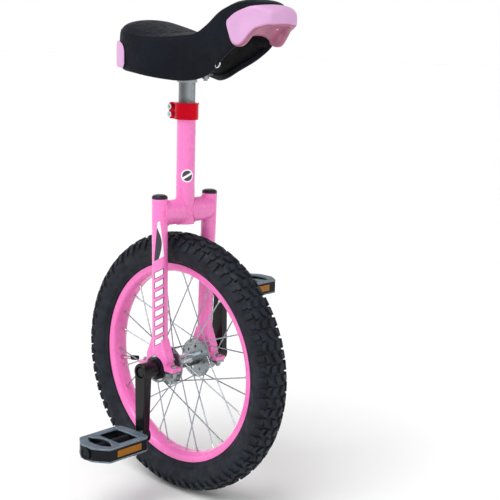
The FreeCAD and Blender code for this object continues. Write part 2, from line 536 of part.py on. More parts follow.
crank_bolts = []
for side, s in (("left", 1), ("right", -1)):
    ydir = "Y" if s > 0 else "-Y"
    boss = cyl("crank_boss_" + side, c("crank_boss_rad"), c("crank_out") - c("crank_in"), (0, s * c("crank_in"), HUB), ydir)
    eye = cyl("crank_eye_" + side, c("crank_eye_rad"), c("crank_out") - c("crank_arm_in"), (0, s * c("crank_arm_in"), HUB + s * c("crank_len")), ydir)
    arm = doc.addObject("Part::Wedge", "crank_arm_" + side)
    for prop, val in (("Xmin", -c("crank_boss_rad") + 1.5), ("Xmax", c("crank_boss_rad") - 1.5), ("X2min", -c("crank_eye_rad") + 2.4), ("X2max", c("crank_eye_rad") - 2.4),
                      ("Zmin", 0), ("Z2min", 0), ("Zmax", c("crank_out") - c("crank_arm_in")), ("Z2max", c("crank_out") - c("crank_arm_in") - 1.5),
                      ("Ymin", 0), ("Ymax", c("crank_len"))):
        bind(arm, prop, val)
    ey = V(0, 0, s)
    ex = V(1, 0, 0)
    ez = ex.cross(ey)
    # the wedge's thickness runs inwards from the outer face
    place(arm, (0, s * c("crank_out"), HUB), "Z", FreeCAD.Rotation(ex, ey, ez, "XYZ"))
    solid = fuse("crank_solid_" + side, boss, eye, arm)
    bored = cut("crank_bored_" + side, solid,
                box("crank_square_" + side, (sq, 60, sq), (-(sq / 2), s * c("axle_tip") - (60 if s > 0 else 0), HUB - sq / 2)),
                cyl("crank_recess_" + side, 9.2, 10, (0, s * (c("axle_tip")), HUB), ydir),
                cyl("crank_thread_" + side, c("pedal_thread_rad"), 40, (0, s * c("crank_arm_in") - 20, HUB + s * c("crank_len")), "Y"))
    lim = D["crank_out"] - 0.6
    soften("crank_" + side, bored, 1.8,
           lambda e: min(abs(e.BoundBox.YMin), abs(e.BoundBox.YMax)) > lim - 1.2 and (e.BoundBox.ZLength > 40 or e.BoundBox.XLength > 18.5))
    crank_bolts.append(fuse("crank_bolt_" + side, hexa("crank_bolt_head_" + side, 7.6, 4.2, (0, s * (c("axle_tip")), HUB), ydir),
                            cyl("crank_bolt_shank_" + side, c("crank_bolt_rad"), 20, (0, s * (c("axle_tip") - 20), HUB), ydir)))
    # pedal spindle, screwed into the crank's eye
    pz = HUB + s * c("crank_len")
    fuse("pedal_spindle_" + side,
         cyl("spindle_thread_" + side, c("pedal_thread_rad"), c("crank_out") - c("crank_arm_in"), (0, s * c("crank_arm_in"), pz), ydir),
         cyl("spindle_collar_" + side, 8.2, 8.0, (0, s * c("crank_out"), pz), ydir),
         cyl("spindle_shaft_" + side, c("pedal_shaft_rad"), 90, (0, s * c("crank_out"), pz), ydir))
group("crank_bolts", *crank_bolts)

# ================================================================ pedals
for side, s in (("left", 1), ("right", -1)):
    pz = HUB + s * c("crank_len")
    ph, pi, po = c("pedal_half"), c("pedal_in"), c("pedal_out")

    def plan(points):
        return [(x, s * q(y)) for x, y in points]

    edge = plan([(12, pi), (ph - 5, pi + 2), (ph, pi + 7), (ph, po - 16), (ph - 6, po - 11), (13, po), (-13, po), (-(ph - 6), po - 11),
                 (-ph, po - 16), (-ph, pi + 7), (-(ph - 5), pi + 2), (-12, pi)])
    window = plan([(22, pi + 13), (25, pi + 16), (25, pi + 54), (-25, pi + 54), (-25, pi + 16), (-22, pi + 13)])
    moon = plan([(24, pi + 62), (25, pi + 66), (12, pi + 81), (-12, pi + 81), (-25, pi + 66), (-24, pi + 62)])
    core = padded("pedal_core_" + side, c("pedal_core_thick"), (0, 0, pz), edge, window, moon)
    ydir = "Y" if s > 0 else "-Y"
    barrel = cyl("pedal_barrel_" + side, c("pedal_barrel_rad"), po - pi - 3, (0, s * (pi + 1), pz), ydir)
    rail = [box("pedal_rail_%s_%d" % (side, i), (5, 50, c("pedal_core_thick") - 8), (x, s * (pi + 33) - 25, pz - (c("pedal_core_thick") - 8) / 2))
            for i, x in enumerate((-27.5, 22.5))]
    body = fuse("pedal_solid_" + side, core, barrel, *rail)
    pockets = [box("pedal_lamp_seat_%s_%d" % (side, i), (3, 47, 10.6), (x, s * (pi + 41.5) - 23.5, pz - 5.3)) for i, x in enumerate((-35.5, 32.5))]
    cut("pedal_body_" + side, body,
        cyl("pedal_bore_" + side, c("pedal_bore_rad"), 85, (0, s * (pi - 2), pz), ydir),
        cyl("pedal_mouth_" + side, 7.6, 3, (0, s * (po - 2.2), pz), ydir), *pockets)
    plates = []
    for i, up in enumerate((1, -1)):
        edge2 = plan([(12, pi - 1), (ph - 5, pi + 1), (ph + 0.5, pi + 7), (ph + 0.5, po - 15.5), (ph - 6, po - 10.5), (12, po + 0.5), (-12, po + 0.5),
                      (-(ph - 6), po - 10.5), (-ph - 0.5, po - 15.5), (-ph - 0.5, pi + 7), (-(ph - 5), pi + 1), (-12, pi - 1)])
        window2 = plan([(20, pi + 14), (23, pi + 17), (23, pi + 53), (-23, pi + 53), (-23, pi + 17), (-20, pi + 14)])
        moon2 = plan([(22.5, pi + 62.5), (22.5, pi + 66), (10, pi + 79), (-10, pi + 79), (-22.5, pi + 66), (-22.5, pi + 62.5)])
        plates.append(padded("pedal_plate_%s_%d" % (side, i), c("pedal_plate_thick"),
                             (0, 0, pz + up * (c("pedal_core_thick") / 2 + c("pedal_plate_thick") / 2)), edge2, window2, moon2))
    group("pedal_plates_" + side, *plates)
    group("pedal_reflectors_" + side,
          *[box("pedal_lamp_%s_%d" % (side, i), (2.6, 46.6, 10.2), (x, s * (pi + 41.5) - 23.3, pz - 5.1)) for i, x in enumerate((-35.1, 32.5))])
    cut("pedal_end_cap_" + side,
        fuse("pedal_cap_solid_" + side, cyl("pedal_cap_stem_" + side, 7.5, 3.2, (0, s * (po - 2.1), pz), ydir), cyl("pedal_cap_face_" + side, 9.6, 2.2, (0, s * (po + 0.8), pz), ydir)),
        cyl("pedal_cap_in_" + side, 6.5, 2.0, (0, s * (po - 3), pz), ydir),
        cyl("pedal_cap_dish_" + side, 6.8, 2.0, (0, s * (po + 2.2), pz), ydir))

# ================================================================ seat
cut("seat_post", cyl("post_out", c("post_rad"), c("post_top") - c("post_low"), (0, 0, HUB + c("post_low"))),
    cyl("post_in", c("post_rad") - c("post_wall"), c("post_top") - c("post_low") + 2, (0, 0, HUB + c("post_low") - 1)))
bz = HUB + 441.0 + c("base_up")
bracket = fuse("bracket_solid", box("bracket_plate", (62, 46, 3), (-30, -23, bz - 3)), cyl("bracket_collar", 15.2, 14, (0, 0, bz - 3 - 10.8)))
stud_places = [(-22, -15), (-22, 15), (24, -15), (24, 15)]
cut("saddle_bracket", bracket, cyl("bracket_bore", c("post_rad"), c("post_top") - 400, (0, 0, HUB + 400)),
    *[cyl("bracket_hole_%d" % i, 3.3, 8, (x, y, bz - 6)) for i, (x, y) in enumerate(stud_places)])
group("saddle_bolts", *[cyl("saddle_stud_%d" % i, 3.0, 18.0, (x, y, bz - 11)) for i, (x, y) in enumerate(stud_places)])
group("saddle_nuts", *[cut("saddle_nut_%d" % i, hexa("saddle_nut_hex_%d" % i, 5.6, 5, (x, y, bz - 8)), cyl("saddle_nut_hole_%d" % i, 3.0, 8, (x, y, bz - 9)))
                       for i, (x, y) in enumerate(stud_places)])


def loft(sections):
    wires = []
    for pts in sections:
        pts = [V(*p) for p in pts]
        wires.append(Part.makePolygon(pts + [pts[0]]))
    return Part.makeLoft(wires, True, True)


hubz = D["wheel_rad"]


def saddle_section(i):
    k = LETTERS[i]
    x, w, f, zb, zcr, zt = [D["saddle_%s_%s" % (col, k)] for col in ("place", "half", "foot", "under", "crease", "ridge")]
    tall = zcr - zb
    half = [(f - min(3.0, f * 0.3), zb), (f + 0.1 * (w - f), zb + min(6.0, 0.16 * tall)), (f + 0.68 * (w - f), zb + 0.5 * tall), (w, zcr - min(8.0, 0.25 * tall)),
            (w - min(2.5, w * 0.2), zcr - 0.5), (w * 0.78, zcr + 0.5 * (zt - zcr)), (w * 0.42, zcr + 0.86 * (zt - zcr))]
    pts = [(x, y, z + hubz) for y, z in half] + [(x, 0.0, zt + hubz)] + [(x, -y, z + hubz) for y, z in reversed(half)]
    return pts


full_saddle = loft([saddle_section(i) for i in range(len(STATIONS))])


def inner_section(i, low, high):
    k = LETTERS[i]
    x, f, zb = [D["saddle_%s_%s" % (col, k)] for col in ("place", "foot", "under")]
    f -= D["skirt_thick"]
    zb += hubz
    return [(x, f, zb + low), (x, f, zb + high), (x, -f, zb + high), (x, -f, zb + low)]


inner_range = range(2, 13)
up, thick = D["base_up"], D["base_thick"]
pocket = loft([inner_section(i, -3.0, up + thick) for i in inner_range])
base_plate = loft([inner_section(i, up, up + thick) for i in inner_range])
studs = [Part.makeCylinder(3.0, 40, V(x, y, hubz + 430), V(0, 0, 1)) for x, y in stud_places]
base_plate = base_plate.cut(Part.makeCompound(studs))
shape("saddle_base", base_plate)
cushion = full_saddle.cut(pocket)
stud_tops = [Part.makeCylinder(3.1, 8, V(x, y, hubz + 441 + up + thick - 1), V(0, 0, 1)) for x, y in stud_places]
screw_holes = [Part.makeCylinder(2.0, 8.0, V(-116, y, hubz + 474), V(1, 0, 0)) for y in (-18, 18)]
shape("saddle_cushion", cushion.cut(Part.makeCompound(stud_tops + screw_holes)))


def handle_section(i):
    k = LETTERS[i]
    x, w, zs, za, zsh, zt = [D["handle_%s_%s" % (col, k)] for col in ("place", "half", "side", "arch", "shoulder", "top")]
    m = max(w - 12.0, w * 0.45)
    tall = zsh - zs
    half = [(w - min(3.0, w * 0.1), zs), (w, zs + min(4.0, 0.2 * tall)), (w, zsh - min(5.0, 0.25 * tall)), (w - min(2.0, 0.08 * w), zsh - min(1.0, 0.05 * tall)),
            (w * 0.62, zsh + 0.72 * (zt - zsh))]
    low = [(m, zs + 0.4), (m * 0.80, zs + 0.62 * (za - zs)), (m * 0.45, zs + 0.92 * (za - zs))]
    ring_pts = [(y, z) for y, z in half] + [(0.0, zt)] + [(-y, z) for y, z in reversed(half)] + \
               [(-y, z) for y, z in low] + [(0.0, za)] + [(y, z) for y, z in reversed(low)]
    return [(x, y, z + hubz) for y, z in ring_pts]


handle_solid = loft([handle_section(i) for i in range(len(HANDLE))])
handle_cut = handle_solid.cut(full_saddle)
pieces = sorted(handle_cut.Solids, key=lambda o: -o.Volume)
print("handle pieces", [round(p.Volume) for p in pieces])
shape("front_handle", pieces[0])


def elliptic(name, grow):
    e = doc.addObject("Part::Ellipse", name + "_curve")
    bigger, smaller = c("saddle_back_b") + grow, c("saddle_back_a") + grow
    bind(e, "MajorRadius", bigger)
    bind(e, "MinorRadius", smaller)
    place(e, (c("saddle_mid"), 0, HUB + c("bumper_low")), "Z", FreeCAD.Rotation(V(0, 0, 1), 90))
    x = doc.addObject("Part::Extrusion", name)
    x.Base = e
    x.DirMode = "Custom"
    x.Dir = V(0, 0, 1)
    bind(x, "LengthFwd", c("bumper_top") - c("bumper_low"))
    x.Solid = True
    return x


bumper_band = cut("bumper_band", elliptic("bumper_outer", c("bumper_thick")), elliptic("bumper_inner", 0.6))
bumper_part = common("bumper_part", bumper_band, box("bumper_limits", (74, 200, 100), (-138, -100, HUB + 430)))
bumper_drill = [cyl("bumper_drill_%d" % i, 2.0, 14, (-125, y, HUB + 474), "X") for i, y in enumerate((-18, 18))]
soften("rear_bumper", cut("bumper_holed", bumper_part, *bumper_drill), 1.8,
       lambda e: e.BoundBox.YLength > 90 and abs(e.BoundBox.XMin + 118.5) < 1.5)
group("bumper_screws", *[fuse("bumper_screw_%d" % i, cyl("bumper_screw_head_%d" % i, 3.6, 1.6, (-119.4, y, HUB + 474), "X"),
                              cyl("bumper_screw_shank_%d" % i, 1.9, 8.0, (-118.2, y, HUB + 474), "X")) for i, y in enumerate((-18, 18))])

doc.recompute()

# ================================================================ checks and output
NODES = ["seat_tube", "fork_crown", "fork_leg_left", "fork_leg_right", "leg_cap_left", "leg_cap_right", "bearing_holder_left", "bearing_holder_right",
         "bearing_cap_left", "bearing_cap_right", "bearing_bolts", "bearing_nuts", "bearing_outer_rings", "seat_clamp", "clamp_bolts", "clamp_nuts",
         "tyre", "inner_tube", "rim", "rim_tape", "spokes", "spoke_nipples", "hub_shell", "hub_flange_left", "hub_flange_right", "axle",
         "bearing_inner_rings", "bearing_balls", "dust_seals", "crank_left", "crank_right", "crank_bolts", "pedal_spindle_left", "pedal_spindle_right",
         "valve_stem", "valve_cap",
         "pedal_body_left", "pedal_plates_left", "pedal_reflectors_left", "pedal_end_cap_left",
         "pedal_body_right", "pedal_plates_right", "pedal_reflectors_right", "pedal_end_cap_right",
         "seat_post", "saddle_bracket", "saddle_base", "saddle_cushion", "front_handle", "rear_bumper", "saddle_bolts", "saddle_nuts", "bumper_screws"]
bad = []
for o in doc.Objects:
    if "Invalid" in o.State or "Error" in o.State:
        bad.append(o.Name + " " + str(o.State))
if bad:
    raise RuntimeError("failed objects: " + ", ".join(bad))
os.makedirs("parts", exist_ok=True)
for name in NODES:
    found = [o for o in doc.Objects if o.Label == name]
    if len(found) != 1:
        raise RuntimeError("label " + name + " found %d times" % len(found))
    s = found[0].Shape
    if s.isNull() or not s.isValid() or not s.Solids:
        raise RuntimeError("bad shape: " + name)
    b = s.BoundBox
    print("%-22s %3d solids  %9.0f mm3  X %7.1f %7.1f  Y %7.1f %7.1f  Z %7.1f %7.1f" % (name, len(s.Solids), s.Volume, b.XMin, b.XMax, b.YMin, b.YMax, b.ZMin, b.ZMax))
    s.exportStep("parts/" + name + ".step")
print("nodes", len(NODES))
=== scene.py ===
import bpy, bmesh, math
import numpy as np
from mathutils import Vector, Matrix


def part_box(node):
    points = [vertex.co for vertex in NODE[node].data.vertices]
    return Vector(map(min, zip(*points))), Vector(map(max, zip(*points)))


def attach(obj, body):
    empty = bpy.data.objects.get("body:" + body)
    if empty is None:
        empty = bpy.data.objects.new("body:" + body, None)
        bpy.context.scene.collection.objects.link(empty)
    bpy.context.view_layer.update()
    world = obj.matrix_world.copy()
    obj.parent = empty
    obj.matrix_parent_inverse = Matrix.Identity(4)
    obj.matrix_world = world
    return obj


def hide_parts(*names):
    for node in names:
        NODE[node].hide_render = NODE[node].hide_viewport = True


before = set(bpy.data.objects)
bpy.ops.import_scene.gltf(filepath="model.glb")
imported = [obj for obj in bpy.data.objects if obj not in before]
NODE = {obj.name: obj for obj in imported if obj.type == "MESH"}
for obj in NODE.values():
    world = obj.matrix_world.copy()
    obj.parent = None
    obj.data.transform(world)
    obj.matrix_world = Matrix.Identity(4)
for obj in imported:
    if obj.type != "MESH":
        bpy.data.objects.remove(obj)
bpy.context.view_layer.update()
HZ = 0.2065
MM = 0.001

# ------------------------------------------------------------------ camera
cam_data = bpy.data.cameras.new("camera")
cam = bpy.data.objects.new("camera", cam_data)
bpy.context.scene.collection.objects.link(cam)
back = Vector((0.6578, -0.7295, 0.1874)).normalized()
right = Vector((0.7427, 0.6697, 0.0)).normalized()
up = back.cross(right).normalized()
roll = math.radians(1.63)
R = right * math.cos(roll) + up * math.sin(roll)
U = up * math.cos(roll) - right * math.sin(roll)
m = Matrix.Identity(4)
m.col[0][:3], m.col[1][:3], m.col[2][:3] = R, U, back
m.col[3][:3] = (1.1839, -1.1610, 0.7040)
cam.matrix_world = m
cam_data.lens, cam_data.sensor_width = 78.31, 36.0
cam_data.clip_start, cam_data.clip_end = 0.05, 50.0
bpy.context.scene.camera = cam
bpy.context.scene.view_settings.view_transform = "Standard"


# ------------------------------------------------------------------ materials
class Mat:
    """A small builder of node materials; positions come from the object's own coordinates, in metres."""

    def __init__(self, name, color, rough=0.5, metal=0.0, coat=0.0, coat_rough=0.05, sheen=0.0, spec=0.5, ior=1.5):
        self.m = bpy.data.materials.new(name)
        self.m.use_nodes = True
        self.t = self.m.node_tree
        self.t.nodes.clear()
        self.out = self.t.nodes.new("ShaderNodeOutputMaterial")
        self.b = self.t.nodes.new("ShaderNodeBsdfPrincipled")
        self.t.links.new(self.b.outputs[0], self.out.inputs[0])
        self.b.inputs["Base Color"].default_value = (*color, 1)
        self.b.inputs["Roughness"].default_value = rough
        self.b.inputs["Metallic"].default_value = metal
        self.b.inputs["Coat Weight"].default_value = coat
        self.b.inputs["Coat Roughness"].default_value = coat_rough
        self.b.inputs["Sheen Weight"].default_value = sheen
        self.b.inputs["Specular IOR Level"].default_value = spec
        self.b.inputs["IOR"].default_value = ior
        self.color, self.rough = color, rough
        self.tc = self.t.nodes.new("ShaderNodeTexCoord")
        self.normal = None

    def node(self, kind, **kw):
        n = self.t.nodes.new(kind)
        for k, v in kw.items():
            setattr(n, k, v)
        return n

    def link(self, a, b):
        self.t.links.new(a, b)

    def noise(self, scale, detail=4.0, rough=0.55, stretch=None, w=0.0):
        n = self.node("ShaderNodeTexNoise")
        n.inputs["Scale"].default_value = scale
        n.inputs["Detail"].default_value = detail
        n.inputs["Roughness"].default_value = rough
        mp = self.node("ShaderNodeMapping")
        if stretch:
            mp.inputs["Scale"].default_value = stretch
        mp.inputs["Location"].default_value = (w, w * 0.7, w * 1.3)
        self.link(self.tc.outputs["Object"], mp.inputs[0])
        self.link(mp.outputs[0], n.inputs["Vector"])
        return n.outputs["Fac"]

    def ramp(self, fac, stops):
        r = self.node("ShaderNodeValToRGB")
        el = r.color_ramp.elements
        while len(el) < len(stops):
            el.new(0.5)
        for e, (p, col) in zip(el, stops):
            e.position = p
            e.color = (*col, 1) if len(col) == 3 else col
        self.link(fac, r.inputs[0])
        return r.outputs[0]

    def remap(self, fac, a, b, lo, hi):
        r = self.node("ShaderNodeMapRange")
        r.inputs["From Min"].default_value, r.inputs["From Max"].default_value = a, b
        r.inputs["To Min"].default_value, r.inputs["To Max"].default_value = lo, hi
        self.link(fac, r.inputs["Value"])
        return r.outputs[0]

    def vary(self, c1, c2, scale, detail=4.0, lo=0.35, hi=0.65, w=0.0):
        """Base colour drifts between two tones."""
        col = self.ramp(self.noise(scale, detail, w=w), [(lo, c1), (hi, c2)])
        self.link(col, self.b.inputs["Base Color"])
        self.col_out = col
        return self

    def roughen(self, scale, lo, hi, detail=4.0, stretch=None):
        self.link(self.remap(self.noise(scale, detail, stretch=stretch, w=3.1), 0.35, 0.65, lo, hi), self.b.inputs["Roughness"])
        return self

    def bump(self, height, strength, distance):
        b = self.node("ShaderNodeBump")
        b.inputs["Strength"].default_value = strength
        b.inputs["Distance"].default_value = distance
        self.link(height, b.inputs["Height"])
        if self.normal:
            self.link(self.normal, b.inputs["Normal"])
        self.normal = b.outputs[0]
        self.link(self.normal, self.b.inputs["Normal"])
        return self

    def grain(self, scale, strength, distance, detail=3.0, stretch=None, w=7.0):
        return self.bump(self.noise(scale, detail, stretch=stretch, w=w), strength, distance)

    def mix(self, fac, a, b):
        n = self.node("ShaderNodeMix", data_type="RGBA")
        self.link(fac, n.inputs[0])
        for sock, v in ((n.inputs[6], a), (n.inputs[7], b)):
            if hasattr(v, "links") or hasattr(v, "is_output"):
                self.link(v, sock)
            else:
                sock.default_value = (*v, 1)
        return n.outputs[2]

    def math(self, op, a, b=None, clamp=False):
        n = self.node("ShaderNodeMath", operation=op)
        n.use_clamp = clamp
        for sock, v in ((n.inputs[0], a), (n.inputs[1], b)):
            if v is None:
                continue
            if isinstance(v, (int, float)):
                sock.default_value = v
            else:
                self.link(v, sock)
        return n.outputs[0]

    def xyz(self, source="Object"):
        s = self.node("ShaderNodeSeparateXYZ")
        self.link(self.tc.outputs[source], s.inputs[0])
        return s.outputs[0], s.outputs[1], s.outputs[2]

    def base(self, out):
        self.link(out, self.b.inputs["Base Color"])
        self.col_out = out
        return self


def srgb(r, g, b):
    def f(v):
        v /= 255.0
        return v / 12.92 if v <= 0.04045 else ((v + 0.055) / 1.055) ** 2.4
    return (f(r), f(g), f(b))


def scaled(c, k):
    return tuple(min(1.0, v * k) for v in c)


def painted(name, col, drift=0.06, rough=0.22, coat=0.6, peel=0.25, spec=0.5):
    """Glossy powder paint: slow tone drift, orange peel and faint handling marks in the gloss."""
    mt = Mat(name, col, rough, 0.0, coat, 0.08, spec=spec)
    mt.vary(scaled(col, 1 - drift), scaled(col, 1 + drift), 14.0, 3.0)
    mt.roughen(60.0, rough * 0.85, rough * 1.3, 5.0)
    mt.grain(900.0, peel, 0.00008, 2.0)
    return mt


FRAME_PINK = srgb(246, 122, 196)
RIM_PINK = srgb(240, 112, 188)

M = {}


def frame_paint():
    return painted("frame_paint", FRAME_PINK, 0.03, 0.26, 0.5, 0.22)


M["frame_paint"] = frame_paint().m


def decal_paint(name, side):
    """Frame paint for the leg graphic, with the coordinates it is drawn in: arc length round the leg and a lean across
    it; leg_graphic draws the slanted white bars with dark edges and the fading chevrons above.
    """
    mt = painted(name, FRAME_PINK, 0.03, 0.26, 0.5, 0.22)
    x, y, z = mt.xyz()
    # arc length round the leg from its outward side, and a lean across it
    high = mt.math("SUBTRACT", z, HZ)
    axis = mt.math("ADD", mt.math("MULTIPLY", high, 0.0201), 0.0479)
    outward = mt.math("SUBTRACT", mt.math("MULTIPLY", y, float(side)), axis)
    arc = mt.math("MULTIPLY", mt.math("ARCTAN2", x, outward), 0.012)
    lean = mt.math("SUBTRACT", z, mt.math("MULTIPLY", arc, 0.55))
    return mt, arc, y, z, lean


def leg_graphic(name, side):
    mt, x, y, z, lean = decal_paint(name, side)
    out = mt.col_out
    # a row of separate slanted bars, each white with a thin dark outline
    saw = mt.math("SUBTRACT", mt.math("FRACT", mt.math("MULTIPLY", lean, 1.0 / 0.0150)), 0.5)
    along = mt.math("MULTIPLY", mt.math("ABSOLUTE", saw), 0.0150)
    side_x = mt.math("ABSOLUTE", mt.math("SUBTRACT", x, 0.0082))
    bar = mt.math("LESS_THAN", along, 0.0042)
    edge = mt.math("LESS_THAN", along, 0.0053)
    row = mt.math("FLOOR", mt.math("MULTIPLY", lean, 1.0 / 0.0150))
    zone = mt.math("MULTIPLY", mt.math("GREATER_THAN", row, math.floor((HZ + 0.046) / 0.0150) - 0.5), mt.math("LESS_THAN", row, math.floor((HZ + 0.166) / 0.0150) - 0.5))
    across = mt.math("LESS_THAN", side_x, 0.0064)
    across_edge = mt.math("LESS_THAN", side_x, 0.0078)
    outer = mt.math("GREATER_THAN", mt.math("MULTIPLY", y, float(side)), 0.040)
    dark = mt.math("MULTIPLY", mt.math("MULTIPLY", mt.math("MULTIPLY", edge, zone), across_edge), outer)
    light = mt.math("MULTIPLY", mt.math("MULTIPLY", mt.math("MULTIPLY", bar, zone), across), outer)
    # upper sweep: a white band with a dark core that narrows upwards
    zu = mt.math("MULTIPLY", mt.math("GREATER_THAN", lean, HZ + 0.169), mt.math("LESS_THAN", lean, HZ + 0.226))
    half = mt.remap(lean, HZ + 0.169, HZ + 0.226, 0.0082, 0.0018)
    off = mt.math("SUBTRACT", x, 0.0082)
    inside = mt.math("LESS_THAN", mt.math("ABSOLUTE", off), half)
    core = mt.math("LESS_THAN", off, mt.math("MULTIPLY", mt.math("SINE", mt.math("MULTIPLY", mt.math("SUBTRACT", lean, HZ + 0.169), 75.0)), 0.0045))
    white2 = mt.math("MULTIPLY", mt.math("MULTIPLY", zu, inside), outer)
    dark2 = mt.math("MULTIPLY", mt.math("MULTIPLY", zu, mt.math("MULTIPLY", core, inside)), outer)
    c1 = mt.mix(dark, out, srgb(40, 22, 48))
    c2 = mt.mix(light, c1, srgb(246, 246, 250))
    c3 = mt.mix(white2, c2, srgb(246, 246, 250))
    c4 = mt.mix(dark2, c3, srgb(34, 24, 44))
    mt.base(c4)
    return mt.m


def tube_graphic(name):
    """Frame paint with a small plain ring-and-bar badge on the seat tube."""
    mt = painted(name, FRAME_PINK, 0.03, 0.26, 0.5, 0.22)
    x, y, z = mt.xyz()
    out = mt.col_out
    a = mt.math("ARCTAN2", mt.math("ADD", mt.math("MULTIPLY", x, 0.743), mt.math("MULTIPLY", y, 0.670)),
                mt.math("SUBTRACT", mt.math("MULTIPLY", x, 0.670), mt.math("MULTIPLY", y, 0.743)))
    s = mt.math("SUBTRACT", mt.math("MULTIPLY", a, 0.0143), 0.0036)
    dz = mt.math("SUBTRACT", z, HZ + 0.296)
    rad = mt.math("SQRT", mt.math("ADD", mt.math("MULTIPLY", s, s), mt.math("MULTIPLY", dz, dz)))
    disc = mt.math("LESS_THAN", rad, 0.0098)
    inner = mt.math("LESS_THAN", rad, 0.0080)
    bar = mt.math("LESS_THAN", mt.math("ABSOLUTE", mt.math("SUBTRACT", dz, mt.math("MULTIPLY", s, 0.6))), 0.0019)
    c1 = mt.mix(disc, out, srgb(246, 246, 250))
    c2 = mt.mix(inner, c1, srgb(52, 38, 60))
    c3 = mt.mix(mt.math("MULTIPLY", bar, inner), c2, srgb(246, 246, 250))
    mt.base(c3)
    return mt.m


M["leg_left"] = leg_graphic("leg_paint_left", 1)
M["leg_right"] = leg_graphic("leg_paint_right", -1)
M["seat_tube"] = tube_graphic("seat_tube_paint")

rim = painted("rim_paint", RIM_PINK, 0.05, 0.28, 0.45, 0.2)
M["rim_paint"] = rim.m


def plastic(name, col, rough=0.42, grain=0.35, scale=1400.0, drift=0.12, spec=0.4):
    mt = Mat(name, col, rough, spec=spec)
    mt.vary(scaled(col, 1 - drift), scaled(col, 1 + drift), 30.0, 5.0)
    mt.roughen(120.0, rough * 0.85, rough * 1.2, 5.0)
    mt.grain(scale, grain, 0.00010, 3.0)
    return mt.m


M["black_plastic"] = plastic("black_plastic", srgb(14, 16, 21), 0.40, spec=0.16)
M["cap_plastic"] = plastic("cap_plastic", srgb(30, 28, 36), 0.30, 0.15, spec=0.3)
def pedal_plastic():
    """Grey-blue moulding, scuffed paler where its edges and ridges stand proud."""
    mt = Mat("pedal_grey", srgb(84, 99, 111), 0.44, spec=0.3)
    tone = mt.ramp(mt.noise(60.0, 5.0), [(0.35, srgb(78, 93, 105)), (0.65, srgb(92, 108, 120))])
    g = mt.node("ShaderNodeNewGeometry")
    sp = mt.node("ShaderNodeSeparateXYZ")
    mt.link(g.outputs["Normal"], sp.inputs[0])
    slope = mt.math("ABSOLUTE", sp.outputs[2])
    edge = mt.math("MULTIPLY", mt.remap(slope, 0.1, 0.4, 0.0, 1.0), mt.remap(slope, 0.90, 0.995, 1.0, 0.0))
    worn = mt.math("MULTIPLY", edge, mt.remap(mt.noise(220.0, 5.0, w=5.0), 0.35, 0.6, 0.25, 1.0))
    mt.base(mt.mix(worn, tone, srgb(158, 172, 182)))
    mt.roughen(120.0, 0.38, 0.54, 5.0)
    mt.grain(1400.0, 0.3, 0.00010, 3.0)
    return mt.m


M["pedal_grey"] = pedal_plastic()
M["bumper_pink"] = plastic("bumper_pink", srgb(212, 162, 206), 0.38, 0.22, 1100.0, 0.03)


def handle_plastic():
    """The same moulded pink, with painted shade: a deeper tone on the inner, downward-facing faces of the grip."""
    mt = Mat("handle_pink", srgb(212, 162, 206), 0.38, spec=0.4)
    drift = mt.ramp(mt.noise(30.0, 5.0), [(0.35, srgb(208, 158, 202)), (0.65, srgb(216, 166, 210))])
    inner = mt.ramp(mt.noise(45.0, 5.0, w=2.0), [(0.35, srgb(150, 78, 106)), (0.65, srgb(168, 94, 124))])
    g = mt.node("ShaderNodeNewGeometry")
    sp = mt.node("ShaderNodeSeparateXYZ")
    mt.link(g.outputs["Normal"], sp.inputs[0])
    # painted shade: faces turned downwards take the darker pink, standing in for the shade beneath the grip
    down = mt.remap(sp.outputs[2], -0.62, -0.12, 1.0, 0.0)
    mt.base(mt.mix(down, drift, inner))
    mt.roughen(120.0, 0.32, 0.46, 5.0)
    mt.grain(1100.0, 0.22, 0.00010, 3.0)
    return mt.m


M["handle_pink"] = handle_plastic()


def metal(name, col, rough, brush=None, spangle=False, scratch=0.25):
    mt = Mat(name, col, rough, 1.0)
    if spangle:  # galvanised sheet: flat crystals of slightly different tone
        v = mt.node("ShaderNodeTexVoronoi")
        v.inputs["Scale"].default_value = 260.0
        mt.link(mt.tc.outputs["Object"], v.inputs["Vector"])
        bw = mt.node("ShaderNodeRGBToBW")
        mt.link(v.outputs["Color"], bw.inputs[0])
        mt.base(mt.ramp(bw.outputs[0], [(0.2, scaled(col, 0.82)), (0.8, scaled(col, 1.12))]))
        mt.link(mt.remap(bw.outputs[0], 0.2, 0.8, rough * 0.8, rough * 1.25), mt.b.inputs["Roughness"])
        mt.grain(500.0, scratch, 0.0001, 4.0)
    else:
        mt.vary(scaled(col, 0.92), scaled(col, 1.06), 40.0, 5.0)
        mt.roughen(200.0, rough * 0.75, rough * 1.35, 6.0, brush)
        mt.grain(900.0, scratch, 0.00006, 4.0, brush)
    return mt.m


